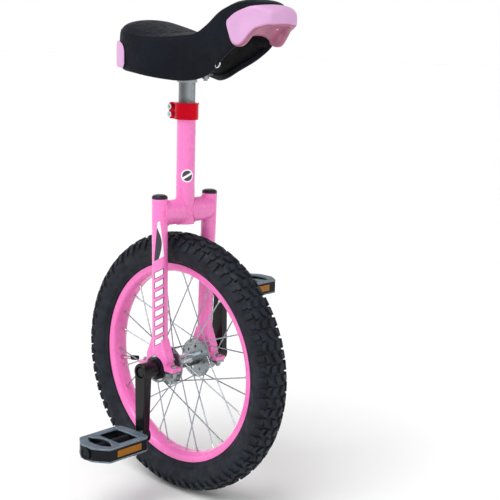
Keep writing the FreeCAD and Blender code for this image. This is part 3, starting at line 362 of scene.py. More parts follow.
M["zinc_steel"] = metal("zinc_steel", srgb(162, 170, 171), 0.42, spangle=True)
M["bright_steel"] = metal("bright_steel", srgb(206, 210, 214), 0.20)
M["spoke_steel"] = metal("spoke_steel", srgb(168, 177, 183), 0.26)
M["nipple_brass"] = metal("nipple_plate", srgb(214, 212, 204), 0.26)
def hub_chrome():
    mt = Mat("hub_chrome", srgb(196, 205, 212), 0.14, 1.0)
    x, y, z = mt.xyz()
    # painted reflection: below the hub's centre line the chrome's colour is painted dark, with a ragged edge, as a
    # painted dark reflection on the lower half; above it the bright chrome tone stays
    bright_upper_chrome = mt.ramp(mt.noise(40.0, 5.0), [(0.35, srgb(196, 206, 214)), (0.65, srgb(222, 230, 236))])
    painted_dark_lower_reflection = mt.ramp(mt.noise(120.0, 6.0), [(0.35, srgb(66, 66, 66)), (0.65, srgb(104, 104, 102))])
    lower_half_reflection_split = mt.math("ADD", mt.math("SUBTRACT", z, HZ), mt.math("MULTIPLY", mt.noise(60.0, 4.0), 0.004))
    mt.base(mt.mix(mt.remap(lower_half_reflection_split, 0.0, 0.0065, 0.0, 1.0), painted_dark_lower_reflection, bright_upper_chrome))
    mt.roughen(200.0, 0.11, 0.2, 6.0, (1, 12, 1))
    mt.grain(900.0, 0.12, 0.00006, 4.0, (1, 12, 1))
    return mt.m


M["hub_chrome"] = hub_chrome()
M["red_alloy"] = metal("red_alloy", srgb(196, 16, 34), 0.26, (30, 30, 1), scratch=0.2)
M["crank_black"] = painted("crank_black", srgb(10, 10, 13), 0.2, 0.22, 0.10, 0.3, spec=0.22).m

# knurl on the post: two crossed sets of fine ridges round the tube, with painted shade darkening the grooves and three
# broad upright bands of painted reflection, dark and bright, round it
mt = Mat("post_chrome", srgb(190, 196, 200), 0.2, 1.0)
x, y, z = mt.xyz()
ang = mt.math("MULTIPLY", mt.math("ARCTAN2", y, x), 0.0127)
k1 = mt.math("SINE", mt.math("MULTIPLY", mt.math("ADD", ang, z), 2 * math.pi / 0.0031))
k2 = mt.math("SINE", mt.math("MULTIPLY", mt.math("SUBTRACT", ang, z), 2 * math.pi / 0.0031))
kn = mt.math("MULTIPLY", mt.math("ABSOLUTE", k1), mt.math("ABSOLUTE", k2))
# painted reflection: the base colour darkens and brightens in three upright bands round the post
painted_reflection_bands = mt.math("ADD", mt.math("MULTIPLY", mt.math("SINE", mt.math("ADD", mt.math("MULTIPLY", ang, 3.0 / 0.0127), 2.35)), 0.34), 0.72)
# painted shade: the grooves between the ridges are coloured dark, the ridge tops bright
knurl_painted_groove_shade = mt.ramp(kn, [(0.0, srgb(50, 54, 59)), (0.5, srgb(206, 212, 217))])
mt.base(mt.mix(mt.math("MULTIPLY", painted_reflection_bands, 1.0, True), srgb(44, 46, 50), knurl_painted_groove_shade))
mt.link(mt.remap(kn, 0, 0.6, 0.34, 0.14), mt.b.inputs["Roughness"])
mt.bump(kn, 0.8, 0.00035)
M["post_chrome"] = mt.m

# tyre rubber
mt = Mat("tyre_rubber", srgb(26, 28, 33), 0.60, spec=0.22)
mt.vary(srgb(20, 23, 29), srgb(34, 39, 48), 55.0, 6.0)
mt.roughen(90.0, 0.50, 0.74, 6.0)
mt.grain(1300.0, 0.5, 0.00012, 4.0)
M["tyre_rubber"] = mt.m

# reflector: orange lens over small prism cells
mt = Mat("reflector_orange", srgb(184, 118, 4), 0.34, coat=0.05, spec=0.2)
x, y, z = mt.xyz()
cell = mt.math("MULTIPLY", mt.math("SINE", mt.math("MULTIPLY", mt.math("ADD", y, z), 2 * math.pi / 0.0030)),
               mt.math("SINE", mt.math("MULTIPLY", mt.math("SUBTRACT", y, z), 2 * math.pi / 0.0030)))
mt.base(mt.ramp(cell, [(0.30, srgb(140, 84, 0)), (0.75, srgb(214, 148, 6))]))
mt.bump(cell, 0.6, 0.0003)
M["reflector_orange"] = mt.m

# saddle cover: stretchy woven cover with a fine satin weave
mt = Mat("saddle_cover", srgb(14, 16, 21), 0.56, sheen=0.015, spec=0.10)
mt.b.inputs["Sheen Roughness"].default_value = 0.45
x, y, z = mt.xyz()
wv1 = mt.math("SINE", mt.math("MULTIPLY", mt.math("ADD", x, z), 2 * math.pi / 0.00085))
wv2 = mt.math("SINE", mt.math("MULTIPLY", mt.math("ADD", y, mt.math("MULTIPLY", z, 0.6)), 2 * math.pi / 0.00085))
wv = mt.math("ADD", mt.math("MULTIPLY", wv1, 0.5), mt.math("MULTIPLY", wv2, 0.5))
tone = mt.ramp(mt.noise(26.0, 5.0), [(0.35, srgb(10, 13, 20)), (0.65, srgb(16, 20, 29))])
fine = mt.remap(wv, -1, 1, 0.0, 0.35)
mt.base(mt.mix(fine, tone, srgb(27, 31, 40)))
mt.roughen(140.0, 0.54, 0.72, 5.0)
mt.bump(wv, 0.25, 0.00010)
mt.grain(70.0, 0.07, 0.0005, 4.0)
M["saddle_cover"] = mt.m

# the underside cloth: a darker black than the cover, partly its own colour and partly painted shade for the shade under
# the saddle
mt = Mat("under_cloth_and_shade", srgb(9, 9, 11), 0.8, spec=0.05)
mt.vary(srgb(7, 7, 9), srgb(15, 15, 18), 60.0, 5.0)
mt.roughen(160.0, 0.7, 0.9, 4.0)
mt.grain(900.0, 0.4, 0.00015, 3.0)
M["under_cloth_and_shade"] = mt.m

M["tape"] = plastic("rim_tape_rubber", srgb(36, 36, 38), 0.6)

ASSIGN = {
    "frame_paint": ["fork_crown", "bearing_holder_left", "bearing_holder_right"],
    "leg_left": ["fork_leg_left"], "leg_right": ["fork_leg_right"], "seat_tube": ["seat_tube"],
    "black_plastic": ["pedal_body_left", "pedal_body_right", "pedal_end_cap_left", "pedal_end_cap_right", "valve_cap"],
    "under_cloth_and_shade": ["saddle_base"],
    "cap_plastic": ["leg_cap_left", "leg_cap_right", "dust_seals"],
    "zinc_steel": ["bearing_cap_left", "bearing_cap_right", "bearing_bolts", "bearing_nuts", "hub_flange_left", "hub_flange_right", "saddle_bracket", "saddle_bolts", "saddle_nuts"],
    "bright_steel": ["bearing_outer_rings", "bearing_inner_rings", "bearing_balls", "clamp_bolts", "clamp_nuts", "axle", "bumper_screws", "pedal_spindle_left", "pedal_spindle_right"],
    "spoke_steel": ["spokes"], "nipple_brass": ["spoke_nipples", "valve_stem"], "hub_chrome": ["hub_shell"],
    "red_alloy": ["seat_clamp"], "rim_paint": ["rim"], "crank_black": ["crank_left", "crank_right", "crank_bolts"],
    "pedal_grey": ["pedal_plates_left", "pedal_plates_right"], "reflector_orange": ["pedal_reflectors_left", "pedal_reflectors_right"],
    "post_chrome": ["seat_post"], "tape": ["rim_tape"], "tyre_rubber": ["tyre", "inner_tube"],
    "saddle_cover": ["saddle_cushion"], "bumper_pink": ["front_handle", "rear_bumper"],
}
for key, names in ASSIGN.items():
    for n in names:
        if n in NODE:
            slots = NODE[n].data.materials
            if not slots:
                slots.append(M[key])
            for i in range(len(slots)):
                slots[i] = M[key]


# ------------------------------------------------------------------ mesh helpers
def new_mesh(name, verts, faces, mat, body, smooth=True, node=None):
    me = bpy.data.meshes.new(name)
    me.from_pydata([tuple(v) for v in verts], [], faces)
    me.update()
    bm = bmesh.new()
    bm.from_mesh(me)
    bmesh.ops.recalc_face_normals(bm, faces=bm.faces)
    bm.to_mesh(me)
    bm.free()
    for p in me.polygons:
        p.use_smooth = smooth
    ob = bpy.data.objects.new(name, me)
    bpy.context.scene.collection.objects.link(ob)
    me.materials.append(mat)
    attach(ob, body)
    if node:
        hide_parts(*([node] if isinstance(node, str) else node))
    return ob


def modify(ob, kind, **kw):
    md = ob.modifiers.new(kind.lower(), kind)
    for k, v in kw.items():
        setattr(md, k, v)
    bpy.context.view_layer.objects.active = ob
    with bpy.context.temp_override(object=ob, active_object=ob, selected_objects=[ob]):
        bpy.ops.object.modifier_apply(modifier=md.name)
    return ob


def smooth_by_angle(ob, deg=35):
    me = ob.data
    for p in me.polygons:
        p.use_smooth = True
    me.update()
    bm = bmesh.new()
    bm.from_mesh(me)
    lim = math.radians(deg)
    for e in bm.edges:
        e.smooth = not (len(e.link_faces) == 2 and e.calc_face_angle(0.0) > lim)
    bm.to_mesh(me)
    bm.free()
    return ob


def catmull(table, per):
    """Smooth rows through a table of rows (centripetal Catmull-Rom)."""
    P = np.array(table, float)
    P = np.vstack([2 * P[0] - P[1], P, 2 * P[-1] - P[-2]])
    out = []
    for i in range(1, len(P) - 2):
        p0, p1, p2, p3 = P[i - 1], P[i], P[i + 1], P[i + 2]
        t0 = 0.0
        t1 = t0 + max(np.linalg.norm(p1 - p0), 1e-9) ** 0.5
        t2 = t1 + max(np.linalg.norm(p2 - p1), 1e-9) ** 0.5
        t3 = t2 + max(np.linalg.norm(p3 - p2), 1e-9) ** 0.5
        for k in range(per):
            t = t1 + (t2 - t1) * k / per
            a1 = (t1 - t) / (t1 - t0) * p0 + (t - t0) / (t1 - t0) * p1
            a2 = (t2 - t) / (t2 - t1) * p1 + (t - t1) / (t2 - t1) * p2
            a3 = (t3 - t) / (t3 - t2) * p2 + (t - t2) / (t3 - t2) * p3
            b1 = (t2 - t) / (t2 - t0) * a1 + (t - t0) / (t2 - t0) * a2
            b2 = (t3 - t) / (t3 - t1) * a2 + (t - t1) / (t3 - t1) * a3
            out.append((t2 - t) / (t2 - t1) * b1 + (t - t1) / (t2 - t1) * b2)
    out.append(P[-2])
    return np.array(out)


def skin_rings(rings, cap=True, closed_loop=False):
    """Quads between rings of equal length; each ring is a closed loop."""
    n = len(rings[0])
    verts = [v for r in rings for v in r]
    faces = []
    count = len(rings)
    for i in range(count if closed_loop else count - 1):
        a, b = i * n, ((i + 1) % count) * n
        for j in range(n):
            k = (j + 1) % n
            faces.append((a + j, a + k, b + k, b + j))
    if cap and not closed_loop:
        faces.append(tuple(range(n - 1, -1, -1)))
        faces.append(tuple((count - 1) * n + j for j in range(n)))
    return verts, faces


# ------------------------------------------------------------------ tyre: carcass, sidewall ribs and tread knobs
def tyre_piece():
    A, B, R0 = 26.4, 22.0, 180.6          # carcass half width, crown height above its centre line, centre line radius

    def surf(phi, lift=0.0):
        y, r = A * math.sin(phi), R0 + B * math.cos(phi)
        ny, nr = math.sin(phi) / A, math.cos(phi) / B
        k = math.hypot(ny, nr)
        return y + ny / k * lift, r + nr / k * lift

    half = []
    for i in range(0, 25):
        phi = math.radians(i * 104.0 / 24)
        deg = math.degrees(phi)
        lift = 0.0
        if 71 < deg < 75:
            lift = 0.7
        half.append(surf(phi, lift))
    y, r = half[-1]
    # lower sidewall down to the bead, with two moulded ribs just above the rim's edge
    half += [(23.4, 170.2), (21.9, 167.4), (22.1, 166.5), (20.9, 165.4), (19.0, 163.2), (17.2, 161.2), (17.1, 160.2), (15.6, 159.6), (13.6, 159.4), (12.3, 158.6), (12.2, 153.0), (11.6, 152.6), (8.4, 152.6)]
    inner = [(8.2, 156.0), (9.4, 161.0), (13.6, 166.5), (19.0, 172.0), (21.6, 180.0), (20.8, 188.0), (16.8, 194.5), (9.5, 198.4), (0.0, 199.6)]
    left = half + inner
    prof = [(y, r) for y, r in left] + [(-y, r) for y, r in reversed(left[1:-1])]
    N = 240
    rings = []
    for i in range(N):
        a = 2 * math.pi * i / N
        rings.append([(r * MM * math.cos(a), y * MM, HZ + r * MM * math.sin(a)) for y, r in prof])
    verts, faces = skin_rings(rings, closed_loop=True)

    def knob(a0, phi0, length, width, height, skew=0.0, bend=0.0, taper=0.75):
        """A moulded block on the carcass: length along the rolling direction, width across it, in mm."""
        base = len(verts)
        n = 12
        R = R0 + B * math.cos(phi0)
        layers = ((-1.6, 1.0), (height - 0.7, 0.90), (height, taper))
        for lift, k in layers:
            for j in range(n):
                t = 2 * math.pi * (j + 0.5) / n
                cx, cy = math.cos(t), math.sin(t)
                px = math.copysign(abs(cx) ** 0.45, cx) * 0.5 * length * k
                py = math.copysign(abs(cy) ** 0.45, cy) * 0.5 * width * k
                py += skew * px + bend * (px * px) / max(length, 1e-6)
                phi = phi0 + py / ((A + B) * 0.5)
                yy, rr = surf(phi, lift)
                a = a0 + px / R
                rr = min(rr, 206.35)
                verts.append((rr * MM * math.cos(a), yy * MM, HZ + rr * MM * math.sin(a)))
        for L in range(2):
            for j in range(n):
                k2 = (j + 1) % n
                faces.append((base + L * n + j, base + L * n + k2, base + (L + 1) * n + k2, base + (L + 1) * n + j))
        faces.append(tuple(base + 2 * n + j for j in range(n)))
        faces.append(tuple(base + j for j in range(n - 1, -1, -1)))

    P = 38
    rad = math.radians
    q = 2 * math.pi / P
    for i in range(P):
        a = i * q
        for s in (1, -1):
            o = 0.0 if s > 0 else q / 2
            # centre: paired slanted blocks that alternate in lean
            knob(a + o, s * rad(9), 14.5, 7.6, 3.9, skew=0.30 * s, taper=0.86)
            knob(a + o + q * 0.52, s * rad(21.5), 12.5, 7.4, 3.9, skew=-0.34 * s, taper=0.86)
            # between centre and shoulder: curved bars
            knob(a + o + q * 0.04, s * rad(35), 15.5, 6.4, 3.6, skew=0.34 * s, bend=1.5 * s, taper=0.84)
            knob(a + o + q * 0.55, s * rad(46.5), 14.0, 6.0, 3.4, skew=-0.26 * s, bend=-1.2 * s, taper=0.84)
            # shoulder: large blocks reaching down the sidewall in two steps, with a shorter one between them
            knob(a + o + q * 0.08, s * rad(62), 9.4, 13.5, 3.5, skew=0.06 * s, taper=0.88)
            knob(a + o + q * 0.08, s * rad(77), 7.6, 6.6, 1.5, skew=0.0, taper=0.88)
            knob(a + o + q * 0.57, s * rad(59.5), 8.2, 8.6, 3.1, skew=-0.06 * s, taper=0.86)
            knob(a + o + q * 0.57, s * rad(70), 5.6, 5.2, 1.4, skew=0.0, taper=0.84)
    ob = new_mesh("tyre_with_tread", verts, faces, M["tyre_rubber"], "wheel", node="tyre")
    smooth_by_angle(ob, 40)
    return ob


tyre_piece()

# ------------------------------------------------------------------ saddle
def inflate(ob, pinned, pressure, cap, frames=20):
    """Cloth under pressure, held at the pinned points; no point moves further than its cap, in metres."""
    me = ob.data
    n = len(me.vertices)
    start = np.empty(n * 3)
    me.vertices.foreach_get("co", start)
    start = start.reshape(-1, 3)
    group = ob.vertex_groups.new(name="held")
    for i in range(n):
        group.add([i], float(pinned[i]), "REPLACE")
    md = ob.modifiers.new("cloth", "CLOTH")
    st = md.settings
    st.quality, st.mass = 6, 0.25
    st.use_pressure, st.uniform_pressure_force = True, pressure
    st.vertex_group_mass = "held"
    st.pin_stiffness = 1.0
    st.tension_stiffness = st.compression_stiffness = 12.0
    st.shear_stiffness, st.bending_stiffness = 4.0, 0.4
    st.shrink_min = -0.006
    st.effector_weights.gravity = 0.0
    md.point_cache.frame_start, md.point_cache.frame_end = 1, frames
    scene = bpy.context.scene
    for f in range(1, frames + 1):
        scene.frame_set(f)
    ev = ob.evaluated_get(bpy.context.evaluated_depsgraph_get())
    now = np.empty(n * 3)
    ev.data.vertices.foreach_get("co", now)
    now = now.reshape(-1, 3)
    ob.modifiers.remove(md)
    scene.frame_set(1)
    move = now - start
    move[~np.isfinite(move).all(axis=1)] = 0.0
    size = np.linalg.norm(move, axis=1)
    scale = np.where(size > cap, cap / np.maximum(size, 1e-9), 1.0)
    me.vertices.foreach_set("co", (start + move * scale[:, None]).ravel())
    me.update()
    ob.vertex_groups.remove(group)
    return ob


STATIONS = [
    (-114.0, 2.0, 2.0, 464.0, 504.0, 509.0),
    (-113.5, 9.0, 8.0, 461.0, 508.0, 513.0), (-110.0, 24.5, 23.0, 459.0, 510.0, 517.5), (-102.0, 41.0, 39.0, 457.0, 511.5, 522.0),
    (-88.0, 57.0, 54.5, 453.6, 511.5, 526.0), (-70.0, 67.5, 65.0, 450.6, 508.5, 526.0), (-48.0, 72.0, 69.5, 448.4, 505.0, 520.5),
    (-20.0, 70.0, 67.0, 444.3, 502.0, 512.8), (5.0, 61.0, 57.0, 441.0, 502.0, 508.0), (30.0, 51.0, 44.0, 439.4, 504.5, 507.0),
    (55.0, 45.0, 33.5, 443.4, 507.5, 509.5), (80.0, 44.0, 31.5, 455.0, 521.0, 527.0), (105.0, 45.0, 41.0, 471.0, 538.5, 544.5),
    (128.0, 44.0, 43.0, 487.5, 548.0, 555.0), (136.0, 43.4, 40.0, 494.0, 550.0, 556.5), (142.0, 42.6, 36.0, 505.0, 551.0, 557.0),
    (150.0, 40.6, 33.0, 514.5, 551.5, 557.0), (161.0, 34.0, 28.0, 519.5, 549.5, 555.0), (171.0, 22.0, 18.0, 525.0, 546.0, 551.5),
    (172.4, 8.0, 6.0, 530.0, 543.0, 546.5),
]


def saddle_piece():
    rows = catmull(STATIONS, 8)
    rings = []
    for x, w, f, zb, zcr, zt in rows:
        w, f = max(w, 1.0), max(f, 0.9)
        H = zcr - zb
        D = w - f
        skirt = min(7.2, f * 0.45)
        deep = 13.6 if -104 < x < 126 else 4.0
        e = min(1.0, w / 20.0)
        # shallow upright folds where the cover is pulled round the waist, and gathers along the nose's edge
        fold = 0.9 * math.exp(-((x - 47.0) / 5.0) ** 2) + 0.5 * math.exp(-((x - 66.0) / 7.0) ** 2)
        gather = 0.55 * math.sin(x * 0.72) * max(0.0, min(1.0, (x - 62.0) / 15.0)) * max(0.0, min(1.0, (134.0 - x) / 12.0))
        half = [(max(f - skirt, 0.3), zb + deep), (max(f - skirt, 0.3), zb + 7.0 * e), (f - skirt * 0.95, zb + 2.0 * e), (f - skirt * 0.78, zb + 0.4 + gather), (f - skirt * 0.5, zb),
                (f - 1.4 * e + 0.05 * D, zb + 1.2 * e), (f - 0.3 * e + 0.12 * D + gather * 0.5, zb + 4.0 * e), (f + 0.3 * e + 0.40 * D + gather * 0.4, zb + 0.24 * H), (f + 0.8 * e + 0.66 * D - fold * 0.5, zb + 0.42 * H),
                (f + 0.9 * e + 0.86 * D - fold, zb + 0.6 * H),
                (w + 0.4 * e - fold, zb + 0.78 * H), (w - 0.3 * e - fold * 0.5, zcr - 6.0 * e), (w - 0.9 * e, zcr - 3.4 * e),
                # the seam: a rolled edge over a narrow groove where the top panel meets the side
                (w - 1.9 * e, zcr - 2.3 * e), (w - 1.3 * e, zcr - 1.3 * e), (w - 1.9 * e, zcr - 0.3 * e), (w - 3.4 * e, zcr + 0.35 * e),
                (w * 0.90 - 1.0 * e, zcr + 0.24 * (zt - zcr)), (w * 0.78, zcr + 0.52 * (zt - zcr)), (w * 0.62, zcr + 0.74 * (zt - zcr)),
                (w * 0.44, zcr + 0.89 * (zt - zcr)), (w * 0.24, zcr + 0.97 * (zt - zcr))]
        reach = max(f - skirt, 0.3)
        band = max(0.0, min(1.0, (x - 40.0) / 12.0)) * max(0.0, min(1.0, (138.0 - x) / 8.0))
        pan = []
        for frac in (0.85, 0.7, 0.55, 0.4, 0.27, 0.13):
            y = frac * reach
            crease = math.sin(x * 0.42 + y * 0.35) + 0.7 * math.sin(x * 0.19 - y * 0.55 + 1.3) + 0.5 * math.sin(x * 0.9 + y * 0.2)
            pan.append((y, zb + deep - (0.9 + 0.9 * crease) * band * e))
        pan_r = [(-y, z + 0.8 * band * e * math.sin(x * 0.31 + 2.0 + y * 0.5)) for y, z in reversed(pan)]
        ring = [(0.0, zb + deep)] + list(reversed(pan)) + half + [(0.0, zt)] + [(-y, z) for y, z in reversed(half)] + list(reversed(pan_r))
        rings.append([(x * MM, y * MM, HZ + z * MM) for y, z in ring])
    verts, faces = skin_rings(rings)
    ob = new_mesh("saddle_cover_pad", verts, faces, M["saddle_cover"], "seat", node="saddle_cushion")
    # the underside faces take the darker cloth, which partly stands in as painted shade under the saddle
    ob.data.materials.append(M["under_cloth_and_shade"])
    per = len(rings[0])
    for poly in ob.data.polygons:
        cols = [v % per for v in poly.vertices]
        # the pan between the two lower edges, and the inner face of the skirt
        if all(c <= 8 or c >= per - 8 for c in cols) and len(poly.vertices) == 4:
            poly.material_index = 1
    # the seam, the hem, the pan and everything under the hard trim are held; the panels between them fill out
    pinned = np.ones(len(ob.data.vertices))
    for r in range(len(rings)):
        x = rows[r][0]
        mid = max(0.0, min(1.0, (x + 104.0) / 10.0)) * max(0.0, min(1.0, (114.0 - x) / 12.0))
        flank = max(0.0, min(1.0, (x + 56.0) / 8.0)) * max(0.0, min(1.0, (114.0 - x) / 12.0))
        for c in range(per):
            k = c if c <= per // 2 else per - c
            # k: 0-6 pan, 7-12 hem, 13-17 side, 18-22 seam, 23 on: top panel
            if k >= 24:
                pinned[r * per + c] = 1.0 - mid
            elif 14 <= k <= 16:
                pinned[r * per + c] = 1.0 - flank
    inflate(ob, pinned, 3.0, 0.0022)
    modify(ob, "SUBSURF", levels=1, render_levels=1)
    return ob


saddle_piece()

HANDLE = [
    (122.0, 45.6, 519.0, 520.0, 526.5, 527.0),
    (122.5, 46.0, 517.0, 518.0, 528.5, 529.0), (127.0, 46.3, 505.0, 508.0, 532.5, 533.0), (131.5, 46.6, 496.5, 506.0, 535.5, 536.0),
    (137.0, 46.6, 492.4, 506.5, 538.5, 539.0), (146.0, 46.3, 492.0, 509.0, 542.0, 542.5), (152.0, 45.5, 496.0, 511.5, 544.0, 544.5),
    (160.0, 43.8, 505.5, 514.5, 546.5, 547.5), (168.0, 41.0, 513.5, 517.5, 546.6, 549.4), (176.0, 37.4, 517.0, 519.5, 544.6, 549.4),
    (183.0, 32.7, 519.6, 521.2, 541.4, 545.6), (187.5, 28.6, 520.6, 522.0, 538.6, 541.8), (189.3, 24.6, 523.0, 524.0, 536.4, 538.6),
    (189.6, 10.0, 529.0, 529.5, 535.5, 536.5),
]


def handle_piece():
    """Hard grip over the nose: an open shell whose inside follows the cover and whose underside arches over the fingers."""
    rows = catmull(HANDLE, 6)
    rings = []
    for x, w, zs, za, zsh, zt in rows:
        m_ = max(w - 12.0, w * 0.45)
        tall = zsh - zs
        tip = min(3.0, w * 0.1)
        # a hollow behind the front lip, under the grip
        hollow = 3.6 * max(0.0, min(1.0, (x - 150.0) / 10.0)) * max(0.0, min(1.0, (184.0 - x) / 4.0))
        half = [(w - tip, zs), (w - tip * 0.3, zs + min(1.4, 0.07 * tall)), (w, zs + min(4.0, 0.2 * tall)), (w + 0.2, zs + 0.45 * tall), (w, zsh - min(5.0, 0.25 * tall)),
                (w - min(0.6, 0.03 * w), zsh - min(2.2, 0.1 * tall)), (w - min(2.0, 0.08 * w), zsh - min(0.6, 0.04 * tall)), (w * 0.82, zsh + 0.34 * (zt - zsh)),
                (w * 0.60, zsh + 0.72 * (zt - zsh)), (w * 0.3, zsh + 0.95 * (zt - zsh))]
        low = [(m_ + 0.5 * (w - tip - m_), zs - 0.1), (m_, zs + 0.4), (m_ * 0.90, zs + 0.34 * (za - zs) + hollow * 0.5), (m_ * 0.80, zs + 0.62 * (za - zs) + hollow), (m_ * 0.45, zs + 0.92 * (za - zs) + hollow)]
        ring = half + [(0.0, zt)] + [(-y, z) for y, z in reversed(half)] + [(-y, z) for y, z in low] + [(0.0, za + hollow)] + [(y, z) for y, z in reversed(low)]
        rings.append([(x * MM, y * MM, HZ + z * MM) for y, z in ring])
    verts, faces = skin_rings(rings)
    ob = new_mesh("nose_handle", verts, faces, M["handle_pink"], "seat", node="front_handle")
    modify(ob, "SUBSURF", levels=1, render_levels=1)
    return ob


handle_piece()


def bumper_piece():
    """Hard guard round the tail: a band of even height that thins towards its ends, with rounded upper corners."""
    rings = []
    n = 64
    limit = math.radians(78)
    for i in range(n + 1):
        t = -1 + 2 * i / n
        k = abs(t)
        a = math.pi + math.copysign(limit * (k ** 0.93), t)
        end = max(0.0, min(1.0, (1 - k) / 0.05)) ** 0.5
        thick = 0.8 + 3.7 * (1 - k ** 5)
        top = 494.5 - 9.0 * max(0.0, (k - 0.72) / 0.28) ** 2.4
        low = 456.0 - 1.5 * max(0.0, (k - 0.7) / 0.3)
        mid, hh = 0.5 * (top + low), 0.5 * (top - low) * max(0.62, 0.62 + 0.38 * end)
        ring = []
        for j in range(20):
            b = 2 * math.pi * j / 20
            cx, cz = math.cos(b), math.sin(b)
            rad = 0.7 + thick * 0.5 + math.copysign(abs(cx) ** 0.6, cx) * thick * 0.5
            z = mid + math.copysign(abs(cz) ** 0.28, cz) * hh
            x = -48.0 + (66.0 + rad) * math.cos(a)
            y = (72.0 + rad) * math.sin(a)
            ring.append((x * MM, y * MM, HZ + z * MM))
        rings.append(ring)
    verts, faces = skin_rings(rings)
    return new_mesh("tail_bumper", verts, faces, M["bumper_pink"], "seat", node="rear_bumper")


bumper_piece()


# ------------------------------------------------------------------ weld beads
def bead(name, pts, r, mat, body, ripple=0.25, pitch=0.0022, closed=True):
    """A rippled weld bead along a path of points (metres)."""
    P = [Vector(p) for p in pts]
    n = len(P)
    rings = []
    run = 0.0
    for i in range(n):
        a, b = P[(i - 1) % n] if closed or i else P[0], P[(i + 1) % n] if closed or i < n - 1 else P[-1]
        t = (b - a).normalized()
        ref = Vector((0, 1, 0)) if abs(t.y) < 0.9 else Vector((1, 0, 0))
        u = t.cross(ref).normalized()
        v = t.cross(u).normalized()
        if i:
            run += (P[i] - P[i - 1]).length
        rr = r * (1 + ripple * 0.5 * math.sin(2 * math.pi * run / pitch))
        rings.append([tuple(P[i] + u * (rr * math.cos(2 * math.pi * j / 10)) + v * (rr * math.sin(2 * math.pi * j / 10))) for j in range(10)])
    verts, faces = skin_rings(rings, cap=not closed, closed_loop=closed)
    return new_mesh(name, verts, faces, mat, body)


def crown_beads():
    zc = 222.0 + 19.0
    for s, tag in ((1, "left"), (-1, "right")):
        pts = []
        n = 150
        for i in range(n):
            t = 2 * math.pi * i / n
            x, z = 14.5 * math.cos(t), 19.0 * math.sin(t)
            y = math.sqrt(max(14.3 ** 2 - min(abs(x), 13.6) ** 2, 0.0)) + 0.6
            pts.append((x * 1.01 * MM, s * (y + 0.5) * MM, HZ + (zc + z * 1.01) * MM))
        bead("weld_tube_" + tag, pts, 0.0017, M["frame_paint"], "frame")
        pts = []
        for i in range(n):
            t = 2 * math.pi * i / n
            x, z = 14.5 * math.cos(t), 19.0 * math.sin(t)
            xx = max(-11.9, min(11.9, x))
            axis_y = 47.9 + (53.2 - 47.9) * (zc + z) / 263.7
            y = axis_y - math.sqrt(max(12.0 ** 2 - xx ** 2, 0.0))
            pts.append((xx * 1.02 * MM, s * (y - 0.3) * MM, HZ + (zc + z * 1.01) * MM))
        bead("weld_leg_" + tag, pts, 0.0016, M["frame_paint"], "frame")


crown_beads()


